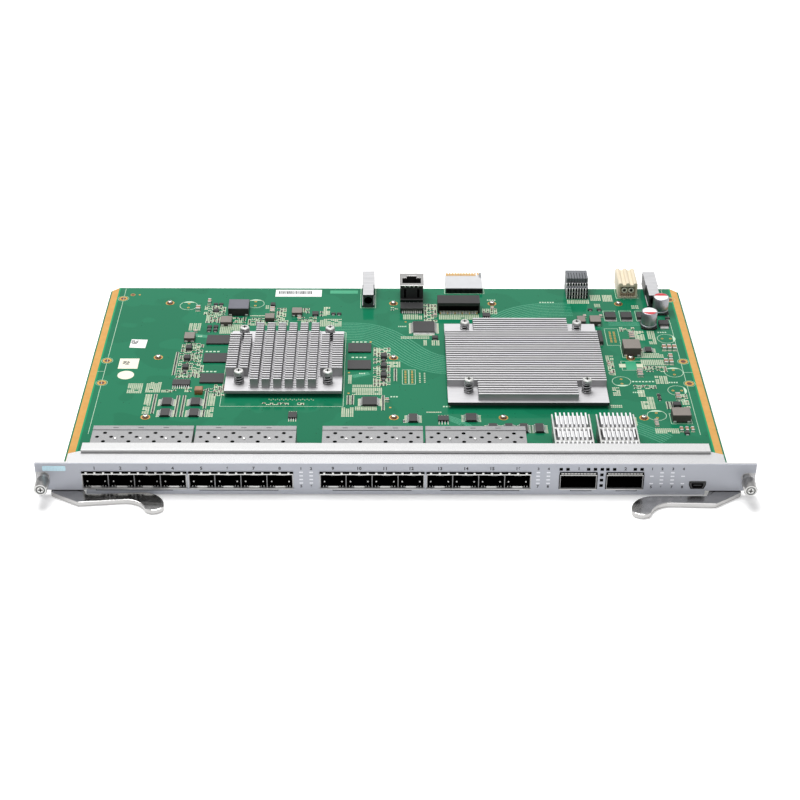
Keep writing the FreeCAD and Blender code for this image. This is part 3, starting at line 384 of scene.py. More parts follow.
finishes = {
    "solder_mask": solder_mask(),
    "face_film": face_paint(),
    "gasket_cloth": gasket_cloth(),
    "chip_epoxy": chip_epoxy(),
    "pressed_ferrite": pressed_ferrite(),
    "panel_sheet": zinc_sheet("panel_sheet", paint(200, 200, 201), paint(158, 158, 160), 0.42),
    "knob_steel": sheet_metal("knob_steel", paint(176, 175, 174), paint(128, 127, 126), 0.3),
    "can_sleeve": sheet_metal("can_sleeve", paint(150, 151, 156), paint(140, 141, 147), 0.3),
    "cage_sheet": zinc_sheet("cage_sheet", paint(148, 148, 149), paint(128, 128, 129), 0.4),
    # Heatsinks: bright tops and darker walls are painted highlight and shade, and below the given heights
    # the broad sink's walls and the rider sinks are painted darker still as shade.
    "heatsink_metal": sawn_metal("heatsink_metal", paint(206, 205, 207), paint(148, 147, 149),
                                 paint(130, 129, 131), 0.45),
    "broad_sink_metal": sawn_metal("broad_sink_metal", paint(200, 199, 201), paint(158, 157, 159),
                                   paint(132, 131, 133), 0.45, wall_shade_below=3.95),
    "pale_metal": sawn_metal("pale_metal", paint(226, 226, 227), paint(160, 160, 162),
                             paint(130, 130, 132), 0.5, painted_shade_below=11.85),
    "guide_metal": sawn_metal("guide_metal", paint(200, 200, 202), paint(58, 58, 61),
                              paint(44, 44, 47), 0.4),
    "polished_steel": sheet_metal("polished_steel", paint(188, 187, 186), paint(160, 159, 158), 0.2,
                                  (0.2, 1, 1)),
    "plain_steel": sheet_metal("plain_steel", paint(205, 204, 202), paint(172, 171, 169), 0.3),
    "spring_steel": sheet_metal("spring_steel", paint(168, 168, 170), paint(112, 112, 114), 0.28),
    # Dark steel, used for real dark steel parts and for lines of painted shade and shadow.
    "dark_steel": sheet_metal("dark_steel", paint(92, 92, 94), paint(64, 64, 66), 0.4),
    "gold_plate": sheet_metal("gold_plate", paint(226, 182, 104), paint(190, 142, 74), 0.3),
    # Tin plate, used for real tinned parts and for painted highlights on cage rims, edges and bumps.
    "tin_plate": sheet_metal("tin_plate", paint(214, 214, 212), paint(178, 178, 176), 0.34),
    "bright_copper": sheet_metal("bright_copper", paint(178, 124, 76), paint(140, 92, 54), 0.4),
    "black_moulding": moulding("black_moulding", paint(30, 30, 31), paint(21, 21, 22), 0.45, gloss=0.4),
    # Near-black painted shade for the insides of ports, holes, slots, recesses and gaps.
    "port_dark": moulding("port_dark", paint(12, 11, 11), paint(6, 6, 6), 0.5, gloss=0.0),
    "pale_moulding": moulding("pale_moulding", paint(192, 193, 195), paint(180, 181, 183), 0.45),
    "slate_moulding": moulding("slate_moulding", paint(104, 107, 111), paint(84, 87, 91), 0.5),
    "beige_moulding": moulding("beige_moulding", paint(216, 205, 182), paint(203, 191, 166), 0.5),
    "white_print": ink("white_print", paint(182, 206, 182)),
    "dark_print": ink("dark_print", paint(34, 34, 40)),
    "label_white": ink("label_white", paint(232, 232, 230)),
    "label_cream": ink("label_cream", paint(228, 224, 204)),
    "label_blue": ink("label_blue", paint(206, 240, 252)),
    "trace_green": ink("trace_green", paint(38, 134, 100), 0.25),
    "coil_blue": moulding("coil_blue", paint(96, 97, 106), paint(84, 85, 94), 0.5),
    "hole_brown": ink("hole_brown", paint(84, 40, 24), 0.5),
    "red_print": ink("red_print", paint(188, 46, 54)),
    "brown_ceramic": moulding("brown_ceramic", paint(100, 68, 50), paint(76, 50, 38), 0.5),
    "tan_ceramic": moulding("tan_ceramic", paint(150, 112, 84), paint(124, 88, 64), 0.5),
    "pad_tin": moulding("pad_tin", paint(204, 208, 184), paint(180, 186, 160), 0.35),
    "bright_green": ink("bright_green", paint(44, 148, 108), 0.3),
    # The status light windows glow faintly as painted light.
    "light_mark": light_window("light_mark", paint(212, 215, 222), 0.05),
}

node_finishes = {
    "solder_mask": ["circuit_board"],
    "face_film": ["face_overlay"],
    "panel_sheet": ["front_panel", "left_lever_bracket", "right_lever_bracket"],
    "gasket_cloth": ["sealing_strip"],
    "cage_sheet": ["port_cage_1", "port_cage_2", "port_cage_3", "port_cage_4",
                   "wide_cage_1", "wide_cage_2"],
    "heatsink_metal": ["small_heatsink"],
    "broad_sink_metal": ["large_heatsink"],
    "pale_metal": ["rider_sink_1", "rider_sink_2"],
    "polished_steel": ["left_ejector_lever", "right_ejector_lever", "jack_frame"],
    "guide_metal": ["left_guide_module", "right_guide_module"],
    "plain_steel": ["left_pivot_rivet", "right_pivot_rivet", "left_screw_ferrule", "right_screw_ferrule",
                    "board_spacers", "small_backplate", "large_backplate"],
    "spring_steel": ["left_screw_retainer", "right_screw_retainer"],
    "chip_epoxy": ["small_chip", "large_chip", "memory_chips", "logic_chips"],
    "black_moulding": ["service_jack", "option_connector", "line_transformer", "port_sockets_1",
                       "port_sockets_2", "port_sockets_3", "port_sockets_4", "wide_sockets"],
    "pale_moulding": ["signal_connector"],
    "beige_moulding": ["power_connector"],
    "slate_moulding": ["backplane_connector"],
    "gold_plate": ["signal_contacts"],
    "tin_plate": ["service_socket", "rider_clips"],
    "light_mark": ["status_lights"],
    "pressed_ferrite": ["power_coils"],
}


def soften(solid, width):
    """Rounds a solid's sharp edges a little, as they are on the real piece."""
    weld = solid.modifiers.new("joined_faces", "WELD")
    weld.merge_threshold = 0.001 * MM
    bevel = solid.modifiers.new("softened_edges", "BEVEL")
    bevel.width = width * MM
    bevel.segments = 2
    bevel.limit_method = "ANGLE"
    bevel.angle_limit = math.radians(40)


softened = {
    0.08: ("port_cage_1", "port_cage_2", "port_cage_3", "port_cage_4"),
    0.1: ("rider_sink_1", "rider_sink_2", "backplane_connector", "memory_chips", "jack_frame"),
    0.12: ("face_overlay", "small_heatsink", "large_heatsink"),
    0.15: ("signal_connector", "logic_chips"),
    0.2: ("service_jack", "option_connector", "left_guide_module", "right_guide_module"),
    0.25: ("front_panel", "power_connector"),
    0.3: ("line_transformer",),
    0.45: ("left_ejector_lever", "right_ejector_lever"),
    0.5: ("power_coils",),
}


def dress_solids():
    """Gives every solid its finish, and some of them softer edges."""
    for finish, nodes in node_finishes.items():
        for node in nodes:
            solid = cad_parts[node]
            solid.data.materials.clear()
            solid.data.materials.append(finishes[finish])
    for width, nodes in softened.items():
        for node in nodes:
            soften(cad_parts[node], width)


# Forms that pieces are gathered from

def turned_to(axis, u, v, w):
    """A point across (u, v) and along (w) an axis, as x, y, z."""
    return {"z": (u, v, w), "y": (u, w, v), "x": (w, u, v)}[axis]


def around(radius, sides, start=0.0):
    """Points evenly round a circle."""
    turns = [start + 2 * math.pi * step / sides for step in range(sides)]
    return [(radius * math.cos(turn), radius * math.sin(turn)) for turn in turns]


class Piece:
    """One visible piece: simple forms gathered into one mesh, each in its own finish."""

    def __init__(self, name):
        self.name = name
        self.points = []
        self.faces = []
        self.face_finishes = []

    def add(self, points, faces, finish):
        """Adds points on the card and the faces between them."""
        start = len(self.points)
        self.points += points
        self.faces += [[start + corner for corner in face] for face in faces]
        self.face_finishes += [finish] * len(faces)

    def layers(self, rings, finish, closed=True):
        """Joins rings of equally many points, one after the other, into one closed form."""
        count = len(rings[0])
        points = [point for ring in rings for point in ring]
        faces = []
        for level in range(len(rings) - 1):
            for step in range(count):
                nearer, after = level * count, (step + 1) % count
                faces.append([nearer + step, nearer + after, nearer + count + after, nearer + count + step])
        if closed:
            last = (len(rings) - 1) * count
            faces.append(list(range(count))[::-1])
            faces.append([last + step for step in range(count)])
        self.add(points, faces, finish)

    def box(self, x0, x1, y0, y1, z0, z1, finish, chamfer=0.0):
        """A block, with its upper edges cut off if it has a chamfer."""
        def ring(inset, z):
            return [(x0 + inset, y0 + inset, z), (x1 - inset, y0 + inset, z),
                    (x1 - inset, y1 - inset, z), (x0 + inset, y1 - inset, z)]
        if chamfer:
            self.layers([ring(0, z0), ring(0, z1 - chamfer), ring(chamfer, z1)], finish)
        else:
            self.layers([ring(0, z0), ring(0, z1)], finish)

    def block(self, x, y, width, length, z0, z1, finish, chamfer=0.0):
        """A block around a middle."""
        self.box(x - width / 2, x + width / 2, y - length / 2, y + length / 2, z0, z1, finish, chamfer)

    def plate(self, x, z, width, height, y0, y1, finish):
        """A block around a middle on the panel's face."""
        self.box(x - width / 2, x + width / 2, y0, y1, z - height / 2, z + height / 2, finish)

    def prism(self, outline, w0, w1, finish, axis="z"):
        """An outline drawn out along an axis."""
        self.layers([[turned_to(axis, u, v, w) for u, v in outline] for w in (w0, w1)], finish)

    def turning(self, x, y, z, profile, finish, sides=24, axis="z"):
        """A profile of (radius, distance along) turned round an axis through a point."""
        rings = []
        for radius, along in profile:
            ring = [turned_to(axis, u, v, along) for u, v in around(max(radius, 0.001), sides)]
            rings.append([(x + px, y + py, z + pz) for px, py, pz in ring])
        self.layers(rings, finish)

    def ring(self, x, y, inner, outer, z0, z1, finish, sides=24):
        """A flat washer."""
        levels = [(inner, z0), (outer, z0), (outer, z1), (inner, z1)]
        rings = [[(x + u, y + v, z) for u, v in around(radius, sides)] for radius, z in levels]
        self.layers(rings + rings[:1], finish, closed=False)

    def wire(self, path, radius, finish, sides=8):
        """A round wire along a path."""
        route = [Vector(point) for point in path]
        rings = []
        for index, point in enumerate(route):
            ahead = route[min(index + 1, len(route) - 1)] - route[max(index - 1, 0)]
            if rings:
                side = side - ahead * (side.dot(ahead) / ahead.length_squared)
            else:
                side = ahead.orthogonal()
            side.normalize()
            up = ahead.normalized().cross(side)
            rings.append([tuple(point + side * u + up * v) for u, v in around(radius, sides)])
        self.layers(rings, finish)

    def strip(self, path, width, z0, z1, finish):
        """A flat strip of even width along a path on the board, its ends square."""
        left, right = [], []
        for index, (x, y) in enumerate(path):
            before, after = path[max(index - 1, 0)], path[min(index + 1, len(path) - 1)]
            way_in = Vector((x - before[0], y - before[1]))
            way_out = Vector((after[0] - x, after[1] - y))
            if way_in.length == 0:
                way_in = way_out
            if way_out.length == 0:
                way_out = way_in
            mean = (way_in.normalized() + way_out.normalized()).normalized()
            reach = width / 2 / max(mean.dot(way_in.normalized()), 0.4)
            left.append((x - mean.y * reach, y + mean.x * reach))
            right.append((x + mean.y * reach, y - mean.x * reach))
        rings = [[(lx, ly, z0), (rx, ry, z0), (rx, ry, z1), (lx, ly, z1)]
                 for (lx, ly), (rx, ry) in zip(left, right)]
        self.layers(rings, finish)

    def finished(self, slot, body="card", replaces=()):
        """Makes the object, puts it on its body and returns it."""
        mesh = bpy.data.meshes.new(self.name)
        mesh.from_pydata([at(*point) for point in self.points], [], self.faces)
        used = sorted(set(self.face_finishes))
        for finish in used:
            mesh.materials.append(finishes[finish])
        for face, finish in zip(mesh.polygons, self.face_finishes):
            face.material_index = used.index(finish)
        sorted_mesh = bmesh.new()
        sorted_mesh.from_mesh(mesh)
        bmesh.ops.recalc_face_normals(sorted_mesh, faces=sorted_mesh.faces)
        sorted_mesh.to_mesh(mesh)
        sorted_mesh.free()
        mesh.shade_smooth()
        mesh.set_sharp_from_angle(angle=math.radians(35))
        piece = bpy.data.objects.new(self.name, mesh)
        bpy.context.scene.collection.objects.link(piece)
        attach(piece, body)
        if replaces:
            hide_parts(*replaces)
        return piece


# The front of the panel

port_cages = [span(f"port_cage_{number}") for number in range(1, 5)]
wide_cages = [span(f"wide_cage_{number}") for number in range(1, 3)]
ports_per_cage = 4
port_pitch = (port_cages[0][1] - port_cages[0][0]) / ports_per_cage
port_wall = 0.4
port_roof = 8.8
port_run = (0.9, 37.0)
shade_sheet = 0.15
shade_foot = 0.2
latch_tab = ((-3.1, 0.0), (3.1, 0.0), (2.3, 1.5), (-2.3, 1.5))
latch_edge = ((2.3, 1.3), (3.2, 0.8), (3.2, 1.1), (2.3, 1.6))
painted_roof_glint = ((-2.0, 1.2, 8.0), (1.5, 1.2, 7.8), (4.6, 1.2, 8.1))
finger_low = 9.66
finger_high = 10.91
finger_width = 1.1
finger_pitch = 4.75
finger_sheet = (-0.62, -0.42)
rim_run = (-0.6, 0.3)
wide_port_roof = 8.4
wide_port_run = (0.8, 42.0)
wide_finger_low = 9.4
wide_fingers = 11


def port_middles():
    """The middle of every small port."""
    for x0, *_ in port_cages:
        for port in range(ports_per_cage):
            yield x0 + (port + 0.5) * port_pitch


def port_linings():
    """Painted shade in each small port: dark boxes inside it and behind the fingers above it, and a dark
    line under each cage.
    """
    shade_pieces = Piece("port_linings")
    half = port_pitch / 2 - port_wall
    front, rear = port_run
    for x in port_middles():
        left, right = x - half, x + half
        for x0, x1, z0, z1 in ((left, left + shade_sheet, shade_foot, port_roof),
                               (right - shade_sheet, right, shade_foot, port_roof),
                               (left, right, 0.3, 0.55), (left, right, port_roof - shade_sheet, port_roof)):
            shade_pieces.box(x0, x1, front, rear, z0, z1, "port_dark")
        shade_pieces.box(left, right, rear - 0.4, rear, shade_foot, port_roof, "port_dark")
    for x0, x1, *_ in port_cages:
        shade_pieces.box(x0 - 0.1, x1 + 0.1, -0.5, 0.45, finger_low + 0.15, finger_high, "port_dark")
        # Painted shadow: a dark line on the face just under each cage's lower rim.
        shade_pieces.box(x0, x1, -0.04, 0.3, -0.85, -0.5, "dark_steel")
    shade_pieces.finished(slot="moulded_black")


def port_latch(piece, x):
    """The latch tab of a small port with its raised edges, and a painted glint on the roof inside the port.
    """
    def turned_up(outline, side=1):
        piece.prism([(x + side * u, v) for u, v in outline], 0.1, 0.4, "tin_plate", axis="y")

    turned_up(latch_tab)
    for side in (-1, 1):
        piece.plate(x + side * 4.8, 2.9, 0.7, 0.8, 2.4, 2.7, "tin_plate")
        for pin in (3.8, 5.3):
            piece.plate(x + side * pin, 0.925, 0.4, 0.75, 0.6, 1.0, "tin_plate")
        turned_up(latch_edge, side)
    # Painted highlight: a bright wire standing for a glint on the port's roof.
    piece.wire([(x + u, y, z) for u, y, z in painted_roof_glint], 0.13, "tin_plate", 6)


def port_fingers():
    """Latch tabs, sprung fingers, and painted highlights along the rims and edges of the ganged cages."""
    fittings = Piece("port_fingers")
    low = finger_low + 0.15
    high = finger_high - 0.1
    for x in port_middles():
        port_latch(fittings, x)
        for step in (-1, 0, 1):
            fittings.plate(x + step * finger_pitch, (low + high) / 2, finger_width, high - low,
                           *finger_sheet, "tin_plate")
    for x0, x1, *_ in port_cages:
        # Painted highlights: bright strips along the top and bottom rims and the side edges of each cage.
        fittings.box(x0 - 0.1, x1 + 0.1, *rim_run, finger_low - 0.4, low, "tin_plate")
        fittings.box(x0, x1, -0.4, 0.3, -0.45, 0.0, "tin_plate")
        for edge in (x0, x1):
            fittings.box(edge - 0.2, edge + 0.2, -0.3, 0.3, 1.0, finger_low - 0.3, "tin_plate")
    fittings.finished(slot="cage_sheet")


def wide_port_linings():
    """Painted shade inside each large port, behind its fingers and beside it."""
    shade_pieces = Piece("wide_port_linings")
    front, rear = wide_port_run
    for x0, x1, *_ in wide_cages:
        left, right = x0 + 0.5, x1 - 0.5
        for a, b, z0, z1 in ((left, left + 0.2, shade_foot, wide_port_roof),
                             (right - 0.2, right, shade_foot, wide_port_roof),
                             (left, right, 0.3, 0.65), (left, right, wide_port_roof - 0.2, wide_port_roof)):
            shade_pieces.box(a, b, front, rear, z0, z1, "port_dark")
        shade_pieces.box(left, right, rear - 0.5, rear, shade_foot, wide_port_roof, "port_dark")
        shade_pieces.box(x0 - 0.1, x1 + 0.1, -0.5, 0.45, wide_finger_low, finger_high, "port_dark")
        for edge in (x0 - 0.2, x1 + 0.2):
            shade_pieces.box(edge - 0.25, edge + 0.25, -0.3, 0.3, 0.0, wide_finger_low, "port_dark")
    shade_pieces.finished(slot="moulded_black")


def wide_port_fingers():
    """The row of sprung fingers over each large port, and painted highlights along its rims."""
    fittings = Piece("wide_port_fingers")
    for x0, x1, *_ in wide_cages:
        left, right = x0 + 0.5, x1 - 0.5
        for step in range(wide_fingers):
            x = left + (step + 0.5) * (right - left) / wide_fingers
            fittings.plate(x, 10.225, 1.44, 0.55, *finger_sheet, "tin_plate")
        # Painted highlights: bright strips along the top and bottom rims.
        fittings.box(x0 - 0.1, x1 + 0.1, *rim_run, 9.0, 9.35, "tin_plate")
        fittings.box(x0, x1, -0.4, 0.3, -0.45, 0.0, "tin_plate")
    fittings.finished(slot="cage_sheet")


digit_height_share = 0.7
digit_weight = 0.09


def number_print(piece_name, marks, finish):
    """Plain numbers printed on the panel's face, joined into one piece."""
    made = bmesh.new()
    for number, x, z, height in marks:
        curve = bpy.data.curves.new("number", "FONT")
        curve.body = str(number)
        curve.size = height * MM / digit_height_share
        curve.align_x = "CENTER"
        curve.align_y = "CENTER"
        curve.extrude = raised_print * MM / 2
        curve.offset = digit_weight * MM
        carrier = bpy.data.objects.new("number", curve)
        mesh = bpy.data.meshes.new_from_object(carrier)
        upright = Matrix.Translation(at(x, -raised_print / 2, z)) @ Matrix.Rotation(math.pi / 2, 4, "X")
        mesh.transform(upright)
        made.from_mesh(mesh)
        bpy.data.objects.remove(carrier)
        bpy.data.curves.remove(curve)
        bpy.data.meshes.remove(mesh)
    bmesh.ops.remove_doubles(made, verts=made.verts, dist=0.001 * MM)
    bmesh.ops.recalc_face_normals(made, faces=made.faces)
    mesh = bpy.data.meshes.new(piece_name)
    made.to_mesh(mesh)
    made.free()
    mesh.materials.append(finishes[finish])
    piece = bpy.data.objects.new(piece_name, mesh)
    bpy.context.scene.collection.objects.link(piece)
    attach(piece, "card")


# Status lights: columns across the face and rows above the board, then the uneven columns at the right
light_rows = (10.64, 8.28, 5.90, 3.59)
light_columns = (-51.9, -46.4, 77.8, 83.4)
end_light_columns = {140.1: (8.35, 3.55), 157.2: (8.35, 3.55), 145.5: (10.66, 8.3, 5.92, 3.55),
                     151.4: (10.66, 8.3, 5.92, 3.55)}
light_width = 2.0
light_height = 0.8
label_corners = ((-180.8, 13.9), (-192.3, 13.9), (-192.3, 11.9), (-180.8, 11.9))
label_radius = 0.6
bracket_height = -1.3
bracket_line = 0.4
bracket_spans = ((-164.6, -122.4, -164.6), (-108.0, -64.8, -64.8), (-34.6, 8.6, -34.6),
                 (24.4, 67.6, 67.6), (96.0, 107.6, 96.0), (120.8, 132.2, 132.2))
window_size = 1.88
window_places = [(x, 12.8) for x in (90.2, 93.9, 105.2, 108.9, 115.7, 119.4, 130.7, 134.4)]
window_places += [(112.65, z) for z in (2.1, 5.7, 9.2, 12.8)]


def light_places():
    """Every light mark on the face, as x and z."""
    for x in light_columns:
        for z in light_rows:
            yield x, z
    for x, rows in end_light_columns.items():
        for z in rows:
            yield x, z


def light_marks():
    """The pale windows of the status lights, which glow faintly as painted light."""
    lights = Piece("light_marks")
    for x, z in light_places():
        lights.plate(x, z, light_width, light_height, -raised_print, 0.1, "light_mark")
    lights.finished(slot="light_bar")


def face_label():
    """The blank label at the left end, with round corners."""
    outline = []
    for quarter, (x, z) in enumerate(label_corners):
        for step in range(4):
            turn = math.radians(quarter * 90 + step * 30)
            outline.append((x + label_radius * math.cos(turn), z + label_radius * math.sin(turn)))
    label = Piece("face_label")
    label.prism(outline, -0.08, 0.02, "label_blue", axis="y")
    label.finished(slot="face_print")


def socket_rim():
    """The mouth of the service socket, drawn in below, with its tongue."""
    x0, x1, _, _, z0, z1 = span("service_socket")
    x, z = (x0 + x1) / 2, (z0 + z1) / 2
    rim = Piece("service_socket_rim")
    # The innermost near-black outline is painted shade inside the mouth.
    for share, front, finish in ((1.0, -0.3, "black_moulding"), (0.82, -0.36, "dark_steel"),
                                 (0.7, -0.42, "port_dark")):
        wide, narrow, tall = 4.7 * share, 3.6 * share, 2.3 * share
        outline = [(x - wide, z + tall), (x - wide, z + 0.2), (x - narrow, z - tall),
                   (x + narrow, z - tall), (x + wide, z + 0.2), (x + wide, z + tall)]
        rim.prism(outline, front, 0.2, finish, axis="y")
    rim.plate(x, z + 0.3, 4.4, 0.4, -0.46, -0.3, "dark_steel")
    rim.finished(slot="moulded_black")


def sealing_strip_foot():
    """A line of painted shade where the sealing strip meets the flange."""
    foot = Piece("sealing_strip_foot")
    x0, x1, y0, _, z0, _ = span("sealing_strip")
    foot.box(x0, x1, y0 - 0.12, y0 + 0.1, z0, z0 + 0.3, "dark_steel")
    foot.finished(slot="sealing")


def bracket_lines():
    """Printed lines under the ports, each turned up at its outer end."""
    lines = Piece("bracket_lines")
    low, high = bracket_height - bracket_line / 2, bracket_height + bracket_line / 2
    for x0, x1, corner in bracket_spans:
        lines.box(x0, x1, -raised_print, 0.02, low, high, "dark_print")
        lines.box(corner - bracket_line / 2, corner + bracket_line / 2, -raised_print, 0.02,
                  low, bracket_height + 0.9, "dark_print")
    lines.finished(slot="face_print")


def face_numbers():
    """Plain numbers over the ports, and over and under the columns of lights."""
    over_ports, over_lights, port_number, light_number = 13.1, 13.0, 1.9, 1.6
    marks = [(number, x, over_ports, port_number) for number, x in enumerate(port_middles(), 1)]
    marks += [(number, (x0 + x1) / 2, over_ports, port_number)
              for number, (x0, x1, *_) in enumerate(wide_cages, 1)]
    for columns, above, below in ((light_columns, over_lights, 1.4),
                                  (sorted(end_light_columns), over_ports, 1.2)):
        for number, x in enumerate(columns, 1):
            marks += [(number, x, above, light_number), (number + 4, x, below, light_number)]
    number_print("face_numbers", marks, "dark_print")


def window_backs():
    """Painted shade: dark boxes right behind the small square windows."""
    backs = Piece("window_shade_boxes")
    for x, z in window_places:
        backs.plate(x, z, window_size, window_size, 0.1, 0.5, "port_dark")
    backs.finished(slot="moulded_black")


knob_teeth = 30
tooth_shape = ((0.0, 1.0), (0.35, 1.0), (0.5, 0.93), (0.85, 0.93))
knob_bore = 2.55
knob_rim = 0.9
screw_head = 2.0
shank_radius = 1.45


def around_y(node):
    """A round piece that lies along the card: its axis as x and z, its radius, and its two ends."""
    x0, x1, y0, y1, z0, z1 = span(node)
    return (x0 + x1) / 2, (z0 + z1) / 2, (z1 - z0) / 2, y0, y1


def knurled_sleeve(knob, x, z, radius, front, rear):
    """The knob's grip, with fine teeth round it and a bore from the front."""
    teeth = []
    for tooth in range(knob_teeth):
        for part, depth in tooth_shape:
            turn = 2 * math.pi * (tooth + part) / knob_teeth
            teeth.append((depth * math.cos(turn), depth * math.sin(turn)))
    outer = [[(x + u * radius * share, y, z + v * radius * share) for u, v in teeth]
             for share, y in ((knob_rim, front), (1.0, front + 0.4), (1.0, rear - 0.3), (0.95, rear))]
    bore = [[(x + u, y, z + v) for u, v in around(knob_bore, len(teeth))] for y in (rear, front + 1.2)]
    knob.layers(outer + bore, "knob_steel")


def captive_knobs():
    """Captive screws: a knurled knob, and a cross recess in the screw's own head."""
    for side in ("left", "right"):
        x, z, radius, front, tip = around_y(f"{side}_captive_screw")
        ring_front, ring_rear = span(f"{side}_screw_retainer")[2:4]
        knob = Piece(f"{side}_knob")
        knurled_sleeve(knob, x, z, radius, front, span(f"{side}_screw_ferrule")[2] + 1.6)

        def turned(profile, finish, sides):
            knob.turning(x, 0, z, profile, finish, sides, "y")

        rim = radius * knob_rim - 0.1
        turned([(rim, front), (rim, front - 0.04), (knob_bore, front - 0.04), (knob_bore, front)],
               "tin_plate", 36)
        # Painted shade: a dark disc deep in the knob's bore.
        turned([(2.5, front + 0.6), (2.5, front + 0.5)], "port_dark", 28)
        turned([(screw_head, front + 0.5), (screw_head, front + 0.1), (screw_head - 0.15, front - 0.05)],
               "tin_plate", 28)
        # Painted shade in the cross recess of the screw's head.
        for wide, tall in ((2.7, 0.65), (0.65, 2.7)):
            knob.plate(x, z, wide, tall, front - 0.09, front + 0.3, "port_dark")
        groove = shank_radius - 0.3
        turned([(shank_radius, front + 2.0), (shank_radius, ring_front), (groove, ring_front),
                (groove, ring_rear), (shank_radius, ring_rear), (shank_radius, tip - 0.6), (1.0, tip)],
               "plain_steel", 20)
        knob.finished(body=f"{side}_screw", slot="plain_steel", replaces=(f"{side}_captive_screw",))


def pivot_rivets():
    """The rivets that the levers swing on, each with a flat sunk head and a round shank."""
    head, shank, head_height = 3.1, 1.85, 0.65
    for side in ("left", "right"):
        x0, x1, y0, y1, z0, z1 = span(f"{side}_pivot_rivet")
        rivet = Piece(f"{side}_rivet")
        profile = [(head, z0), (head, z0 + head_height), (shank, z0 + head_height), (shank, z1)]
        rivet.turning((x0 + x1) / 2, (y0 + y1) / 2, 0, profile, "plain_steel", 32)
        rivet.finished(slot="plain_steel", replaces=(f"{side}_pivot_rivet",))


def hidden_springs():
    """The coil springs inside the two knobs, at their rest length."""
    wire, turns = 0.2, 4
    for side in ("left", "right"):
        x, z, _, front, rear = around_y(f"{side}_screw_spring")
        x0, x1, *_ = span(f"{side}_screw_spring")
        coil = Piece(f"{side}_knob_spring")
        path = helix(x, z, (x1 - x0) / 2 - wire - 0.02, front, rear, turns, "y")
        coil.wire(path, wire, "spring_steel", 6)
        spring = coil.finished(slot="spring_steel", replaces=(f"{side}_screw_spring",))
        at(x, rear, z)
        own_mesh(spring)


def helix(x, other, radius, w0, w1, turns, axis="z", steps=14):
    """A coil along an axis, its ends lying flat."""
    path = []
    total = turns * steps
    inset = 0.25
    for step in range(total + 1):
        share = step / total
        flat = min(share * turns, 1.0) * 0.5 + max(share * turns - (turns - 1), 0.0) * 0.5
        rise = (share * turns - flat) / (turns - 1)
        turn = 2 * math.pi * turns * share
        u, v = radius * math.cos(turn), radius * math.sin(turn)
        w = w0 + inset + (w1 - w0 - 2 * inset) * rise
        path.append((x + u, other + v, w) if axis == "z" else (x + u, w, other + v))
    return path


# Tops of the cages

cage_roof = 9.7
vent_size = (2.4, 2.3)
side_vent_size = (2.3, 2.1)
bump_row = 35.2
slot_row = 46.3
lip_line = 44.0


def dark_dot(piece, x, y, width, length):
    """A vent hole in a cage's roof, drawn as a dark rounded spot of painted shade."""
    outline = [(x + u * width / 2, y + v * length / 2) for u, v in around(1.0, 14)]
    piece.prism(outline, cage_roof - 0.1, cage_roof + 0.02, "port_dark")


def cage_tops():
    """On the roof of each ganged cage: vent holes and slots as painted shade, small raised bumps in a
    brighter finish as painted highlights, and the folded lip as a line of painted shade.
    """
    tops = Piece("cage_roof_details")
    for x0, x1, *_ in port_cages:
        for port in range(ports_per_cage):
            edge = x0 + port * port_pitch
            middle_x = edge + port_pitch / 2 + 0.2
            for row in (41.1, 32.3):
                dark_dot(tops, middle_x, row, *vent_size)
            for side in (-1, 1):
                dark_dot(tops, middle_x + side * 4.0, 37.0, *side_vent_size)
            if port:
                # The bumps are real, their brighter finish a painted highlight.
                bump = [(0.9, cage_roof), (0.75, cage_roof + 0.5), (0.3, cage_roof + 0.7)]
                tops.turning(edge - 0.5, bump_row, 0, bump, "tin_plate", 14)
                # Painted shade: a dark slot in the roof.
                tops.block(edge - 1.4, slot_row, 3.0, 0.7, cage_roof + 0.2, cage_roof + 0.32, "dark_steel")
        # Painted shade along the folded lip.
        tops.box(x0, x1, lip_line, lip_line + 0.16, cage_roof, cage_roof + 0.31, "dark_steel")
    for x0, x1, y0, y1, *_ in wide_cages:
        # Painted shade: a dark line near the rear of each large cage's roof.
        tops.box(x0 + 1.0, x1 - 1.0, y1 - 1.4, y1 - 1.1, 9.8, 9.84, "dark_steel")
    tops.finished(slot="cage_sheet")


# Details of the rear connectors

def evenly(first, last, count):
    """Places evenly from the first to the last."""
    return [first + step * (last - first) / (count - 1) for step in range(count)]


def jack_details(dark, bright):
    """The grooves, pins and foot on the front of the service jack."""
    x0, x1, front, _, _, top = span("service_jack")
    for side in (-1, 1):
        groove = (x0 + x1) / 2 + side * 4.3
        # Painted shade in each groove.
        dark.plate(groove, 7.2, 1.6, 6.0, front - 0.15, front, "port_dark")
        for edge in (-0.9, 0.9):
            bright.plate(groove + edge, 7.4, 0.2, 6.4, front - 0.2, front, "dark_steel")
    for pin in (x0 + 3.2 + step * 2.8 for step in range(4)):
        bright.box(pin - 0.5, pin + 0.5, front - 0.25, front, 11.6, top + 0.3, "tin_plate")
        # Painted shade at the foot of each pin.
        dark.plate(pin, 0.9, 1.4, 1.0, front - 0.3, front, "port_dark")
        bright.plate(pin, 0.5, 0.5, 1.0, front - 0.4, front - 0.2, "tin_plate")
    dark.box(x0 + 0.2, x1 - 0.2, front - 1.6, front, 2.0, 3.6, "black_moulding", 0.3)


def transformer_leads(bright):
    """The leads in front of the line transformer."""
    x0, x1, front, *_ = span("line_transformer")
    for x in evenly(x0 + 1.4, x1 - 1.4, 11):
        bright.plate(x, 0.35, 0.56, 0.7, front - 1.1, front, "tin_plate")
        bright.plate(x, 1.25, 0.56, 1.3, front - 0.1, front + 0.02, "tin_plate")


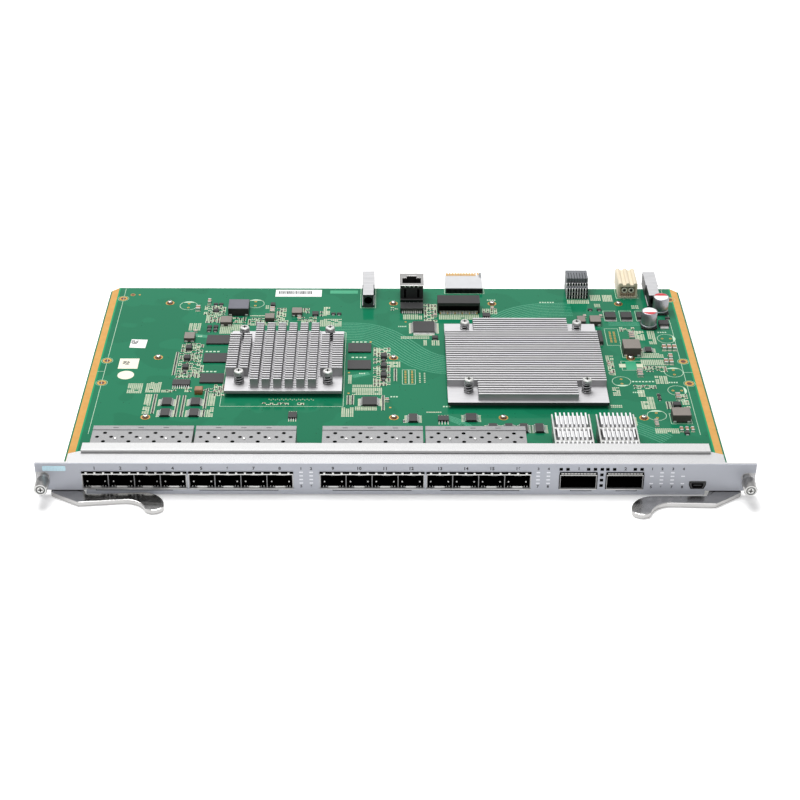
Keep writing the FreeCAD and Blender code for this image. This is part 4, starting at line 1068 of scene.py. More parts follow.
def option_pins(dark, bright):
    """The mouth of the option header in dark painted shade, and its leads, every fifth one gold."""
    x0, x1, front, *_ = span("option_connector")
    dark.box(x0 + 0.8, x1 - 0.8, front - 0.06, front + 0.1, 2.2, 5.4, "port_dark")
    for number, x in enumerate(evenly(x0 + 1.8, x1 - 1.8, 26)):
        bright.plate(x, 0.15, 0.44, 0.3, front - 1.2, front, "tin_plate" if number % 5 else "gold_plate")
        bright.plate(x, 1.1, 0.4, 1.6, front - 0.14, front, "tin_plate")


def signal_details(dark, bright):
    """The comb in front of the signal header, its rear ledge with gold contacts, and its post."""
    x0, x1, front, rear, *_ = span("signal_connector")
    # Painted shade behind the teeth of the comb.
    dark.box(x0 + 0.1, x1 - 0.1, front - 0.3, front + 0.02, 0.05, 3.1, "port_dark")
    for x in evenly(x0 + 0.5, x1 - 0.5, 30):
        dark.plate(x, 1.475, 0.34, 2.85, front - 0.8, front - 0.2, "black_moulding")
        bright.plate(x, 0.825, 0.2, 1.55, front - 0.9, front - 0.8, "dark_steel")
    bright.box(x0 + 0.4, x1 - 3.6, rear - 0.3, rear + 1.2, 2.2, 3.45, "pale_moulding")
    for x in evenly(x0 + 0.9, x1 - 4.3, 24):
        bright.plate(x, 3.51, 0.6, 0.22, rear - 1.4, rear + 1.5, "gold_plate")
    bright.turning(x1 - 1.2, rear - 2.6, 0, [(0.8, 1.0), (0.8, 6.2), (0.6, 6.6)], "pale_moulding", 18)


def backplane_details(dark, bright):
    """Pale steps, and dark steps of painted shade, between the wafers of the backplane connector."""
    x0, _, front, *_ = span("backplane_connector")
    wafers, wafer_pitch, levels, level_pitch = 8, 1.75, 4, 2.45
    for wafer in range(wafers):
        x = x0 + 0.9 + wafer * wafer_pitch
        for level in range(levels):
            low = 1.0 + level * level_pitch
            y = front + max(low - 5.6, 0.0) * 1.12
            bright.box(x - 0.95, x - 0.45, y - 0.5, y + 0.5, low - 0.7, low + 1.2, "label_white")
            dark.box(x - 0.45, x + 0.75, y - 0.35, y + 0.5, low - 0.7, low + 1.1, "port_dark")


def power_details(dark, bright):
    """The two round contacts, the vent slots and the feet of the power connector."""
    x0, x1, front, *_ = span("power_connector")
    for side in (-1, 1):
        x = (x0 + x1) / 2 + side * 2.2
        dark.plate(x, 5.8, 3.4, 3.8, front - 0.05, front + 0.2, "dark_steel")
        tube = [(1.8, front - 0.15), (1.8, front + 0.5), (1.1, front + 0.5), (1.1, front - 0.15)]
        bright.turning(x, 0, 5.8, tube, "label_cream", 24, "y")
        for slot in (-1.5, 0.0, 1.5):
            dark.plate(x + slot, 1.9, 0.24, 2.2, front - 0.04, front + 0.2, "brown_ceramic")
        bright.plate(x, 0.4, 1.0, 0.8, front - 1.2, front, "tin_plate")


def guide_bores(bright):
    """The rims of the bores in the two guide modules."""
    for node in ("left_guide_module", "right_guide_module"):
        x0, x1, front, *_ = span(node)
        rim = [(2.9, front - 0.06), (2.9, front + 0.3), (2.6, front + 0.3), (2.6, front - 0.06)]
        bright.turning((x0 + x1) / 2, 0, 5.2, rim, "dark_steel", 32, "y")


def connector_details():
    """Pins, rims and contacts of the connectors along the rear edge."""
    dark, bright = Piece("connector_darks"), Piece("connector_pins")
    jack_details(dark, bright)
    transformer_leads(bright)
    option_pins(dark, bright)
    signal_details(dark, bright)
    backplane_details(dark, bright)
    power_details(dark, bright)
    guide_bores(bright)
    dark.finished(slot="moulded_black")
    bright.finished(slot="plain_steel")


# Screws

screw_grid = [(x, y) for x in (-146.0, -1.0, 63.0, 145.3) for y in (73.4, 142.6, 212.8)]
under_large_heatsink = (63.0, 142.6)
spring_screw_sizes = (("small", 2.85, 2.75), ("large", 2.75, 2.6))
spring_wire = 0.38
spring_turns = 5


def corners(node, inset):
    """The four corners of a screw pattern, from the box around all four screws."""
    x0, x1, y0, y1, *_ = span(node)
    return [(x, y) for x in (x0 + inset, x1 - inset) for y in (y0 + inset, y1 - inset)]


def cross_recess(piece, x, y, z, length, width):
    """A cross recess on top of a screw head, drawn as a dark cross of painted shade."""
    piece.block(x, y, length, width, z - 0.2, z + 0.02, "port_dark")
    piece.block(x, y, width, length, z - 0.2, z + 0.02, "port_dark")


def spring_screws():
    """Spring screws of the heatsinks: a pan head with a cross, a spring with painted shade in its core, and
    a plain shank.
    """
    for size, head, coil in spring_screw_sizes:
        screws, springs = f"{size}_sink_screws", f"{size}_sink_springs"
        top, floor = span(screws)[5], span(springs)[4]
        under = top - 1.5
        pan = [(head - 0.25, under), (head, under + 0.2), (head, top - 0.6), (head - 0.35, top - 0.12),
               (head * 0.55, top)]
        for number, (x, y) in enumerate(corners(screws, 2.31), 1):
            screw = Piece(f"{size}_spring_screw_{number}")
            screw.turning(x, y, 0, pan, "tin_plate", 28)
            cross_recess(screw, x, y, top, 2.9, 0.75)
            screw.turning(x, y, 0, [(1.25, -3.6), (1.25, floor)], "dark_steel", 16)
            # Painted shade: a near-black core inside the spring.
            screw.turning(x, y, 0, [(1.6, floor), (1.6, under)], "port_dark", 16)
            screw.wire(helix(x, y, coil, floor, under, spring_turns), spring_wire, "spring_steel", 8)
            screw.finished(slot="plain_steel", replaces=(screws, springs) if number == 1 else ())


def board_screws():
    """Small pan head screws in plated rings."""
    screws = Piece("board_screw_heads")
    pan = [(1.35, 0.06), (1.45, 0.9), (1.35, 1.45), (1.0, 1.68), (0.6, 1.7)]
    for x, y in screw_grid:
        if (x, y) == under_large_heatsink:
            continue
        screws.ring(x, y, 1.3, 2.8, 0.0, 0.06, "gold_plate")
        screws.ring(x, y, 1.2, 2.15, 0.06, 0.1, "hole_brown")
        screws.turning(x, y, 0, pan, "plain_steel", 24)
        cross_recess(screws, x, y, 1.7, 1.5, 0.4)
    screws.finished(slot="plain_steel", replaces=("board_screws",))


# The rear edge

foot_size = 10.2
foot_corner = 1.6
can_radius = 5.05
can_top_radius = 4.45
red_segment_half = 70


def capacitor(number, x, y, top, marked_towards):
    """An upright capacitor: a crimped can on a moulded foot, its top marked with a red segment."""
    can = Piece(f"capacitor_{number}")
    half = foot_size / 2
    inner = half - foot_corner
    foot = [(x - half, y - inner), (x - inner, y - half), (x + inner, y - half), (x + half, y - inner),
            (x + half, y + half), (x - half, y + half)]
    can.prism(foot, 0.1, 1.1, "black_moulding")
    crimp = [(4.8, 1.1), (can_radius, 1.3), (can_radius, 2.1), (4.7, 2.4), (4.7, 2.7), (can_radius, 3.0)]
    shoulder = [(can_radius, top - 0.5), (4.85, top - 0.1), (4.6, top), (can_top_radius, top - 0.25)]
    can.turning(x, y, 0, crimp + shoulder, "can_sleeve", 48)
    can.turning(x, y, 0, [(can_top_radius, top - 0.3), (can_top_radius, top - 0.2)], "label_white", 48)
    steps = range(marked_towards - red_segment_half, marked_towards + red_segment_half + 1, 10)
    segment = [(x + can_top_radius * math.cos(turn), y + can_top_radius * math.sin(turn))
               for turn in map(math.radians, steps)]
    can.prism(segment, top - 0.25, top - 0.05, "red_print")
    can.finished(slot="bright_sheet", replaces=("electrolytic_capacitors",) if number == 1 else ())


def capacitors():
    """The two upright capacitors, in opposite corners of their box."""
    x0, x1, y0, y1, _, top = span("electrolytic_capacitors")
    half = foot_size / 2
    capacitor(1, x1 - half, y1 - half, top + 0.8, 90)
    capacitor(2, x0 + half, y0 + half, top + 0.8, 270)


# Fields of small parts on the board: x0, x1, y0, y1 and what they hold

small_part_fields = {
    "pads": (
        (-160.5, -151.5, 100.0, 111.5), (-149.5, -140.5, 101.0, 113.0), (-148.6, -144.8, 86.0, 99.0),
        (-148.6, -144.8, 77.0, 85.0), (-110.8, -107.0, 73.5, 84.5), (-110.8, -107.0, 86.0, 100.0),
        (-131.0, -123.0, 176.5, 186.0), (-111.0, -97.0, 172.5, 184.5), (-93.0, -78.0, 194.8, 197.0),
        (-84.0, -78.5, 205.0, 210.0), (-48.0, -34.0, 182.0, 192.0), (-46.0, -42.0, 196.0, 208.0),
        (-32.0, -24.5, 74.0, 84.5), (-26.0, -8.0, 98.5, 107.0), (-26.0, -9.0, 107.6, 110.5),
        (-24.0, -11.0, 81.0, 85.5), (-29.0, -26.0, 109.0, 122.0), (-3.0, 3.0, 131.0, 138.0),
        (3.5, 21.5, 166.3, 169.6), (22.5, 28.0, 158.0, 164.5), (17.5, 20.0, 158.0, 165.0),
        (5.0, 17.5, 191.5, 198.0), (28.0, 54.0, 191.5, 198.0), (18.0, 27.0, 78.0, 80.5),
        (112.0, 126.5, 213.0, 218.4), (127.5, 134.5, 217.0, 225.0), (135.5, 142.0, 216.0, 225.0),
        (129.5, 133.0, 208.0, 213.0), (153.0, 158.0, 206.0, 211.0), (151.0, 157.0, 165.0, 177.0),
        (159.0, 164.0, 160.0, 177.0), (152.0, 166.0, 143.0, 149.0), (151.0, 165.0, 134.0, 141.0),
        (157.0, 165.0, 112.0, 121.5), (130.0, 134.5, 98.0, 108.0), (127.0, 134.0, 84.5, 88.0),
        (129.5, 134.8, 140.0, 146.0), (145.5, 149.5, 83.0, 92.0), (149.5, 153.5, 83.0, 97.0),
        (150.0, 164.0, 56.5, 62.0), (137.0, 140.5, 65.0, 74.0), (145.0, 149.0, 97.0, 105.0)),
    "resistors": (
        (-144.0, -141.2, 77.0, 99.0), (-130.4, -127.6, 73.5, 97.5), (-126.8, -124.0, 73.5, 99.0),
        (-113.9, -111.1, 73.5, 106.5), (-136.0, -133.2, 121.0, 149.0), (-1.4, 1.4, 114.5, 129.5),
        (-27.0, -24.2, 87.5, 98.0), (-29.4, -26.6, 87.5, 98.0), (160.0, 164.5, 83.0, 91.5),
        (-8.8, -6.0, 81.0, 98.0), (155.5, 158.5, 93.5, 100.5)),
    "mixed": (
        (-133.0, -119.0, 137.0, 160.0), (-133.0, -117.0, 118.0, 136.0), (-140.0, -131.0, 101.0, 104.2),
        (-126.0, -122.0, 101.5, 107.0), (-109.0, -101.8, 97.0, 110.0), (-121.0, -111.5, 186.0, 196.5),
        (-123.0, -109.0, 197.0, 209.0), (-105.0, -95.0, 186.0, 194.0), (-94.0, -68.0, 183.0, 193.0),
        (-76.0, -70.0, 193.0, 206.0), (-59.5, -55.0, 199.0, 206.0), (-48.5, -46.0, 195.0, 202.0),
        (-60.0, -50.0, 186.0, 194.0), (-13.5, -3.0, 109.0, 155.0), (18.5, 27.0, 188.0, 212.0),
        (-3.0, 2.0, 203.0, 208.0), (130.0, 134.0, 122.0, 140.0), (142.0, 152.0, 176.0, 182.0),
        (151.0, 166.0, 126.0, 133.0), (143.0, 157.0, 106.0, 110.5), (152.0, 162.0, 150.5, 153.0),
        (160.0, 166.0, 196.0, 200.0), (56.0, 66.0, 198.5, 206.0), (170.0, 174.0, 84.0, 100.0),
        (-115.0, -103.0, 101.0, 106.0), (-79.0, -63.0, 86.8, 89.6), (-58.0, -54.0, 86.8, 89.6)),
}
part_choices = {"pads": ("pads",), "resistors": ("resistor",),
                "mixed": ("pads", "pads", "pads", "resistor", "resistor", "tan", "brown")}
left_empty = {"pads": 0.06, "resistors": 0.02, "mixed": 0.22}
part_finishes = {"resistor": "black_moulding", "tan": "tan_ceramic", "brown": "brown_ceramic"}
part_pitch = 2.3
row_pitch = 1.28


def small_part(piece, x, y, kind):
    """One small part on two soldered pads, lying across the card."""
    def halves(near, far, half_length, height, finish):
        for x0, x1 in ((x - far, x - near), (x + near, x + far)):
            piece.box(x0, x1, y - half_length, y + half_length, 0.0, height, finish)

    if kind == "pads":
        halves(0.15, 1.0, 0.46, 0.05, "pad_tin")
        return
    halves(0.5, 1.05, 0.44, 0.08, "pad_tin")
    halves(0.36, 0.6, 0.32, 0.45, "tin_plate")
    piece.block(x, y, 0.8, 0.6, 0.0, 0.42, part_finishes[kind])


def small_parts():
    """The fields of bare pads, resistors and small capacitors."""
    chance = random.Random(4)
    for name, fields in small_part_fields.items():
        piece = Piece(f"small_{name}")
        for x0, x1, y0, y1 in fields:
            columns = max(int((x1 - x0) / part_pitch + 0.5), 1)
            rows = max(int((y1 - y0) / row_pitch), 1)
            for column in range(columns):
                for row in range(rows):
                    if chance.random() < left_empty[name]:
                        continue
                    x = x0 + (column + 0.5) * (x1 - x0) / columns
                    y = y0 + (row + 0.5) * (y1 - y0) / rows
                    small_part(piece, x, y, chance.choice(part_choices[name]))
        piece.finished(slot="moulded_black")


# Single parts that stand out on the board: middle, width, length and height

black_blocks = (
    (-128.0, 153.0, 3.8, 4.4, 2.2), (-128.0, 140.6, 3.8, 4.4, 2.2), (-128.0, 129.6, 3.8, 4.4, 2.2),
    (-7.1, 143.3, 3.8, 4.4, 2.2), (-7.1, 131.6, 3.8, 4.4, 2.2), (-7.1, 120.3, 3.8, 4.4, 2.2),
    (-117.6, 180.6, 2.8, 2.4, 1.2), (-113.6, 180.6, 2.8, 2.4, 1.2), (-117.6, 176.2, 2.8, 2.4, 1.2),
    (-113.6, 176.2, 2.8, 2.4, 1.2), (-116.0, 210.6, 2.8, 1.6, 1.1), (-112.6, 210.6, 2.8, 1.6, 1.1),
    (-115.2, 202.0, 4.0, 3.0, 1.3), (-79.0, 209.2, 3.0, 3.2, 1.9), (-51.1, 197.6, 4.0, 4.2, 1.6),
    (-39.6, 198.0, 2.9, 1.5, 1.1), (-35.9, 198.0, 2.9, 1.5, 1.1), (25.0, 166.8, 3.6, 3.4, 1.6),
    (126.0, 204.2, 2.9, 1.5, 1.1), (131.8, 204.2, 2.9, 1.5, 1.1), (174.5, 193.0, 3.0, 2.0, 1.2),
    (128.8, 166.5, 2.6, 14.2, 2.6), (157.0, 98.2, 2.0, 2.2, 1.0), (157.0, 94.2, 2.0, 2.2, 1.0),
    (166.4, 87.0, 4.6, 4.0, 2.0), (-128.0, 124.2, 2.0, 1.8, 0.9), (-7.1, 138.0, 2.0, 1.8, 0.9),
    (-7.1, 126.2, 2.0, 1.8, 0.9), (-7.1, 114.8, 2.0, 1.8, 0.9), (4.8, 69.0, 1.4, 1.2, 0.6),
    (168.0, 56.4, 3.0, 2.0, 1.2))
capacitor_blocks = (
    (-120.4, 213.6, 2.0, 4.4, 2.0), (-127.0, 204.2, 2.8, 4.4, 2.2), (-125.9, 174.6, 2.0, 2.2, 1.4),
    (-79.0, 203.8, 3.0, 2.6, 1.9), (-79.0, 200.4, 3.0, 2.6, 1.9), (-61.6, 195.4, 2.2, 3.2, 1.6),
    (-61.2, 191.4, 2.2, 2.6, 1.4), (-5.0, 92.0, 2.2, 2.6, 1.6), (121.6, 195.4, 2.0, 2.0, 1.4),
    (132.0, 195.4, 2.0, 2.0, 1.4), (148.9, 172.6, 3.2, 1.8, 1.8), (148.9, 169.8, 3.2, 1.8, 1.8),
    (148.9, 167.0, 3.2, 1.8, 1.8), (167.4, 154.6, 2.4, 5.0, 2.0), (170.6, 154.6, 2.4, 5.0, 2.0),
    (173.8, 154.6, 2.4, 5.0, 2.0), (166.4, 137.2, 2.4, 4.6, 2.0), (169.6, 137.2, 2.4, 4.6, 2.0),
    (169.9, 143.6, 2.4, 4.2, 2.0), (148.8, 126.6, 3.2, 1.9, 1.8), (148.8, 123.8, 3.2, 1.9, 1.8),
    (148.8, 121.0, 3.2, 1.9, 1.8), (131.0, 134.6, 1.8, 2.8, 1.2), (131.4, 124.0, 1.8, 2.4, 1.2),
    (168.2, 98.0, 2.8, 2.4, 2.0), (168.2, 94.4, 2.8, 2.4, 2.0), (151.9, 70.0, 2.2, 1.6, 1.2),
    (151.9, 67.4, 2.2, 1.6, 1.2), (151.9, 64.8, 2.2, 1.6, 1.2), (165.4, 60.4, 1.8, 4.0, 1.4),
    (168.6, 60.4, 1.8, 4.0, 1.4), (171.8, 60.4, 1.8, 4.0, 1.4), (25.6, 196.0, 2.2, 2.4, 1.5),
    (62.8, 205.6, 2.2, 2.2, 1.4))
coils = (
    (-100.4, 201.8, 12.9, 12.2, 5.6), (-107.4, 186.4, 7.2, 8.4, 3.0), (-128.7, 165.2, 6.6, 8.0, 3.2),
    (-62.9, 198.4, 6.6, 7.2, 3.0), (118.7, 187.6, 5.2, 7.6, 3.2), (127.6, 187.4, 7.0, 8.4, 3.4),
    (146.4, 150.6, 10.8, 11.6, 6.0), (166.6, 72.6, 10.8, 9.0, 5.2))
round_coil = (-80.0, 191.0, 6.0, 6.0, 3.0)


def black_parts():
    """Black moulded parts on their leads, the big coil's blue cap, and a small coil."""
    blacks = Piece("black_parts")
    for x, y, width, length, height in black_blocks:
        blacks.block(x, y, width, length, 0.1, height, "chip_epoxy", min(0.3, height * 0.2))
        for side in (-1, 1):
            blacks.block(x, y + side * (length / 2 + 0.5), width * 0.55, 1.2, 0.0, 0.35, "tin_plate")
    x, y, width, length, height = coils[0]
    blacks.block(x, y, width + 0.16, length + 0.16, 0.1, height - 0.3, "black_moulding", 0.3)
    blacks.block(x, y, width + 0.1, length + 0.1, height - 0.4, height + 0.08, "coil_blue", 0.3)
    x, y, width, length, height = round_coil
    blacks.block(x, y, width, length, 0.1, height, "pressed_ferrite", 0.3)
    blacks.finished(slot="chip_black")


def stack_capacitors():
    """Ceramic capacitors with soldered ends, and the soldered ends of the coils."""
    stacks = Piece("stack_capacitors")
    for x, y, width, length, height in capacitor_blocks:
        stacks.block(x, y, width - 0.1, length * 0.55, 0.1, height - 0.06, "tan_ceramic", 0.08)
        for side in (-1, 1):
            stacks.block(x, y + side * length * 0.37, width, length * 0.24, 0.1, height, "tin_plate", 0.1)
            stacks.block(x, y + side * length * 0.52, width + 0.3, length * 0.2, 0.0, 0.12, "pad_tin")
    for x, y, width, length, _ in coils:
        for side in (-1, 1):
            end = x + side * (width / 2 - 1.3)
            stacks.block(end, y - length / 2 - 0.15, 1.8, 0.5, 0.0, 1.3, "tin_plate", 0.1)
    stacks.finished(slot="moulded_grey")


# Printed lines, rings and pads on the board

silk_width = 0.28


def silk_frame(piece, x0, x1, y0, y1):
    """A printed rectangle."""
    inner0, inner1 = y0 + silk_width, y1 - silk_width
    for a0, a1, b0, b1 in ((x0, x1, y0, inner0), (x0, x1, inner1, y1),
                           (x0, x0 + silk_width, inner0, inner1), (x1 - silk_width, x1, inner0, inner1)):
        piece.box(a0, a1, b0, b1, 0.0, raised_print, "white_print")


# Places of parts that aren't fitted: middle, and the side that is marked, in degrees
empty_places = ((-133.6, 209.3, 90), (-90.5, 212.2, 90), (170.5, 167.2, 0), (169.7, 125.7, 90),
                (136.6, 114.8, 270), (168.9, 104.3, 0), (153.1, 76.2, 90))
empty_radius = 5.45
fixing_rings = ((-177.0, 218.7), (-176.9, 138.6), (-176.7, 112.1), (177.2, 138.8), (177.3, 112.4),
                (179.5, 218.7))
# Printed frames: x0, x1, y0, y1
silk_frames = (
    (-103.8, -30.8, 85.3, 174.5), (132.5, 141.2, 158.5, 180.0), (4.1, 8.0, 111.0, 128.3),
    (8.2, 12.2, 111.0, 128.3), (12.0, 24.5, 170.8, 189.0), (134.0, 141.9, 189.6, 203.4),
    (144.2, 152.1, 189.6, 203.4), (154.5, 162.4, 189.6, 203.4), (-22.4, -12.4, 206.6, 233.3),
    (32.4, 58.6, 226.2, 233.3), (144.6, 159.2, 220.2, 233.3), (138.6, 153.0, 128.0, 139.2),
    (140.4, 152.6, 143.4, 158.0), (160.4, 172.8, 66.8, 78.4))
# Short marks: from and to, how far behind the face, and how many
short_marks = (
    (-124.0, -121.0, 168.5, 3), (-117.5, -108.0, 149.3, 4), (-117.5, -108.0, 125.0, 4),
    (-27.0, -17.0, 161.6, 4), (-27.0, -17.0, 142.4, 4), (2.0, 7.5, 181.6, 5),
    (143.0, 157.0, 114.0, 7), (-22.0, -18.0, 123.0, 3), (168.0, 174.0, 92.0, 4),
    (28.0, 33.0, 85.0, 3), (-3.0, 2.0, 96.0, 3), (60.0, 66.0, 217.0, 4),
    (166.0, 172.0, 174.6, 4), (165.0, 171.0, 113.0, 4), (142.0, 148.0, 101.4, 5),
    (94.0, 104.0, 214.0, 6))


def edge_lines(piece):
    """The long printed lines beside the plated strips, each with its short branch."""
    for x, outer in ((-176.8, -181.2), (175.6, 181.2)):
        piece.strip([(x, 55.0), (x, 232.8)], silk_width, 0.0, raised_print, "white_print")
        piece.strip([(x, 125.6), (outer, 125.6)], silk_width, 0.0, raised_print, "white_print")


def empty_place(piece, x, y, marked_towards):
    """The printed ring of a part that isn't fitted, with one side filled in."""
    piece.ring(x, y, empty_radius, empty_radius + 0.3, 0.0, raised_print, "white_print", 48)
    arc = [math.radians(marked_towards) + math.radians(step) for step in range(-42, 43, 12)]
    reach = empty_radius + 0.05
    segment = [(x + reach * math.cos(turn), y + reach * math.sin(turn)) for turn in arc]
    piece.prism(segment, 0.0, raised_print * 1.2, "white_print")


def board_print():
    """White print: edge lines, frames round parts, rings for parts that aren't fitted, short marks."""
    white = Piece("board_print")
    edge_lines(white)
    for printed_frame in silk_frames:
        silk_frame(white, *printed_frame)
    for place in empty_places:
        empty_place(white, *place)
    for x, y in fixing_rings:
        white.ring(x, y, 3.35, 3.55, 0.0, raised_print, "white_print", 40)
    for x0, x1, y, count in short_marks:
        pitch = (x1 - x0) / count
        for x in (x0 + step * pitch for step in range(count)):
            white.box(x, x + pitch * 0.62, y, y + 1.3, 0.0, raised_print, "white_print")
    white.finished(slot="board")


probe_places = ((6.7, 188.2), (-3.1, 84.4), (-28.0, 100.4), (-28.2, 124.6), (-167.0, 223.9), (-15.4, 162.2))


def plated_holes(gold):
    """Plated rings round the fixing holes and the small hole in the rear corner."""
    for x, y in fixing_rings:
        gold.ring(x, y, 1.65, 2.8, 0.0, 0.05, "gold_plate", 40)
        gold.turning(x, y, 0, [(1.68, -0.3), (1.68, 0.02)], "hole_brown", 24)
    x, y = -171.4, 223.9
    gold.ring(x, y, 1.2, 1.6, 0.0, 0.05, "gold_plate")
    gold.turning(x, y, 0, [(1.25, 0.0), (1.25, 0.04)], "hole_brown", 20)


def plated_pads(gold):
    """Gold pads at the places of parts that aren't fitted, and in the printed frames."""
    for x, y, marked_towards in empty_places:
        for side in (-1, 1):
            pad = (x + side * 2.6, y) if marked_towards == 0 else (x, y + side * 2.7)
            gold.ring(*pad, 0.35, 0.85, 0.0, 0.06, "gold_plate", 16)
    for x in (135.6, 138.2):
        for row in range(7):
            gold.ring(x, 163.0 + row * 2.05, 0.3, 0.72, 0.0, 0.06, "gold_plate", 14)
    for x in (6.1, 10.2):
        for row in range(8):
            gold.block(x, 112.8 + row * 1.95, 1.2, 0.9, 0.0, 0.06, "gold_plate")


def test_pads(gold):
    """Small tinned and gold pads for test probes."""
    for step in range(22):
        x, y = -75.0 + step * 1.25, 93.6 - step % 2 * 0.9
        gold.turning(x, y, 0, [(0.36, 0.0), (0.36, 0.04)], "pad_tin", 10)
    for x in (14.8, 17.7):
        for row in range(6):
            gold.block(x, 113.5 + row * 2.1, 0.9, 0.9, 0.0, 0.05, "pad_tin")
    for x, y in probe_places:
        gold.turning(x, y, 0, [(0.7, 0.0), (0.7, 0.05)], "gold_plate", 16)


def gold_pads():
    """All plated rings and pads of the board."""
    gold = Piece("gold_pads")
    plated_holes(gold)
    plated_pads(gold)
    test_pads(gold)
    gold.finished(slot="gold")


# Copper lines: the path of the middle one, how many, and their pitch
trace_runs = (
    (((-40.0, 176.0), (-10.0, 176.0), (18.0, 134.0), (48.0, 134.0)), 11, 2.1),
    (((60.0, 182.0), (82.0, 204.0), (114.0, 205.5)), 9, 2.1),
    (((136.0, 66.0), (150.0, 55.5), (156.0, 50.0)), 6, 2.0),
    (((29.0, 74.0), (36.0, 70.0), (44.0, 62.0), (44.0, 50.0)), 5, 1.1),
    (((-26.0, 120.0), (-16.0, 124.0)), 4, 0.9),
    (((-112.0, 169.0), (-124.0, 169.0), (-130.0, 175.0)), 4, 0.9),
    (((136.0, 186.0), (157.0, 186.0)), 3, 1.6),
)
trace_width = 0.85
copper_height = 0.02
copper_fields = ((-42.5, -24.3, 226.2, 230.6), (141.4, 147.8, 128.6, 138.6))


def rounded(path, steps=5):
    """A path with its corners rounded off."""
    route = [path[0]]
    for before, corner, after in zip(path, path[1:], path[2:]):
        start = ((before[0] + corner[0]) / 2, (before[1] + corner[1]) / 2)
        end = ((corner[0] + after[0]) / 2, (corner[1] + after[1]) / 2)
        for step in range(steps + 1):
            share = step / steps
            route.append(tuple((1 - share) ** 2 * a + 2 * share * (1 - share) * b + share ** 2 * c
                               for a, b, c in zip(start, corner, end)))
    return route + [path[-1]]


def shifted(path, reach):
    """The path moved sideways by a distance."""
    moved = []
    for index, (x, y) in enumerate(path):
        before, after = path[max(index - 1, 0)], path[min(index + 1, len(path) - 1)]
        ahead = Vector((after[0] - before[0], after[1] - before[1])).normalized()
        moved.append((x - ahead.y * reach, y + ahead.x * reach))
    return moved


def traces():
    """Bundles of copper lines under the lacquer, with rounded bends, and two copper fields."""
    copper = Piece("trace_bundles")
    for path, count, pitch in trace_runs:
        route = rounded(path)
        for line in range(count):
            reach = (line - (count - 1) / 2) * pitch
            copper.strip(shifted(route, reach), trace_width, 0.0, copper_height, "trace_green")
    for field in copper_fields:
        copper.box(*field, 0.0, copper_height, "bright_green")
    copper.finished(slot="board")


label_height = 0.1
label_ink = (0.1, 0.12)


def stickers():
    """Blank labels on the board: two square ones, a round one, and a strip with plain bars."""
    labels = Piece("board_labels")
    askew = [(-165.4, 154.6), (-155.4, 154.0), (-155.0, 164.4), (-165.0, 165.0)]
    labels.prism(askew, 0.0, label_height, "label_white")
    labels.box(-169.2, -157.3, 128.8, 141.0, 0.0, label_height, "label_cream")
    labels.turning(-163.4, 121.2, 0, [(5.0, 0.0), (5.0, label_height)], "label_cream", 48)
    labels.box(-78.2, -48.0, 221.8, 231.2, 0.0, label_height, "label_white")
    chance = random.Random(9)
    bar, last_bar = -76.2, -54.6
    while bar < last_bar:
        width = chance.choice((0.3, 0.3, 0.5, 0.75))
        labels.box(bar, bar + width, 225.4, 229.4, *label_ink, "dark_print")
        bar += width + chance.choice((0.25, 0.25, 0.4))
    for x, y in ((-164.4, 159.6), (-166.6, 134.0)):
        for row in range(5):
            for column in range(6):
                if chance.random() < 0.7:
                    labels.block(x + column * 0.7, y + row * 0.9, 0.6, 0.75, *label_ink, "dark_print")
    labels.finished(slot="face_print")


# Leads of the chips

# Leaded chips: middle, body width and length, sides that carry leads, leads a side
chip_leads = (
    (18.2, 179.9, 13.6, 13.6, "lrfb", 18), (-128.7, 111.1, 10.4, 6.2, "fb", 8),
    (-135.1, 89.4, 5.4, 7.6, "lr", 8), (-118.2, 89.4, 5.4, 7.6, "lr", 8), (-134.9, 77.2, 5.2, 7.6, "lr", 8),
    (-118.1, 77.2, 5.2, 7.6, "lr", 8), (-60.2, 74.4, 5.0, 6.0, "fb", 4), (10.2, 71.6, 4.8, 8.0, "lr", 8),
    (27.9, 71.0, 6.2, 5.0, "fb", 4), (44.1, 72.3, 6.2, 7.6, "lr", 6), (58.6, 195.9, 4.8, 4.6, "fb", 4),
    (-15.3, 90.1, 8.7, 8.7, "lr", 12), (157.2, 152.1, 4.0, 5.2, "lr", 5), (56.4, 60.8, 4.6, 8.6, "lr", 7),
    (65.6, 60.8, 4.2, 8.6, "lr", 7), (74.2, 60.8, 4.2, 8.6, "lr", 7), (83.2, 60.8, 4.6, 8.6, "lr", 7))
lead_reach = 1.7
lead_profile = ((0.0, 0.9), (0.5, 0.9), (0.8, 0.22), (lead_reach, 0.22), (lead_reach, 0.06), (0.6, 0.06),
                (0.38, 0.74), (0.0, 0.74))


def bent_lead(piece, x, y, side, width):
    """One bent lead, out of the body, down and out along its pad."""
    sign = 1 if side in "rb" else -1
    pad = sign * (lead_reach + 0.1)
    edges = (-width / 2, width / 2)
    if side in "lr":
        rings = [[(x + sign * reach, y + edge, z) for reach, z in lead_profile] for edge in edges]
        piece.layers(rings, "tin_plate")
        piece.block(x + pad, y, 1.6, width * 1.2, 0.0, 0.05, "pad_tin")
    else:
        rings = [[(x + edge, y + sign * reach, z) for reach, z in lead_profile] for edge in edges]
        piece.layers(rings, "tin_plate")
        piece.block(x, y + pad, width * 1.2, 1.6, 0.0, 0.05, "pad_tin")


def leads_of_a_chip(piece, x, y, width, length, sides, count):
    """A row of bent leads along each leaded side of a chip."""
    for side in sides:
        sign = 1 if side in "rb" else -1
        run = (length if side in "lr" else width) - 1.0
        pitch = run / (count - 1)
        for shift in (step * pitch - run / 2 for step in range(count)):
            if side in "lr":
                place = (x + sign * width / 2, y + shift)
            else:
                place = (x + shift, y + sign * length / 2)
            bent_lead(piece, *place, side, min(0.5, pitch * 0.6))


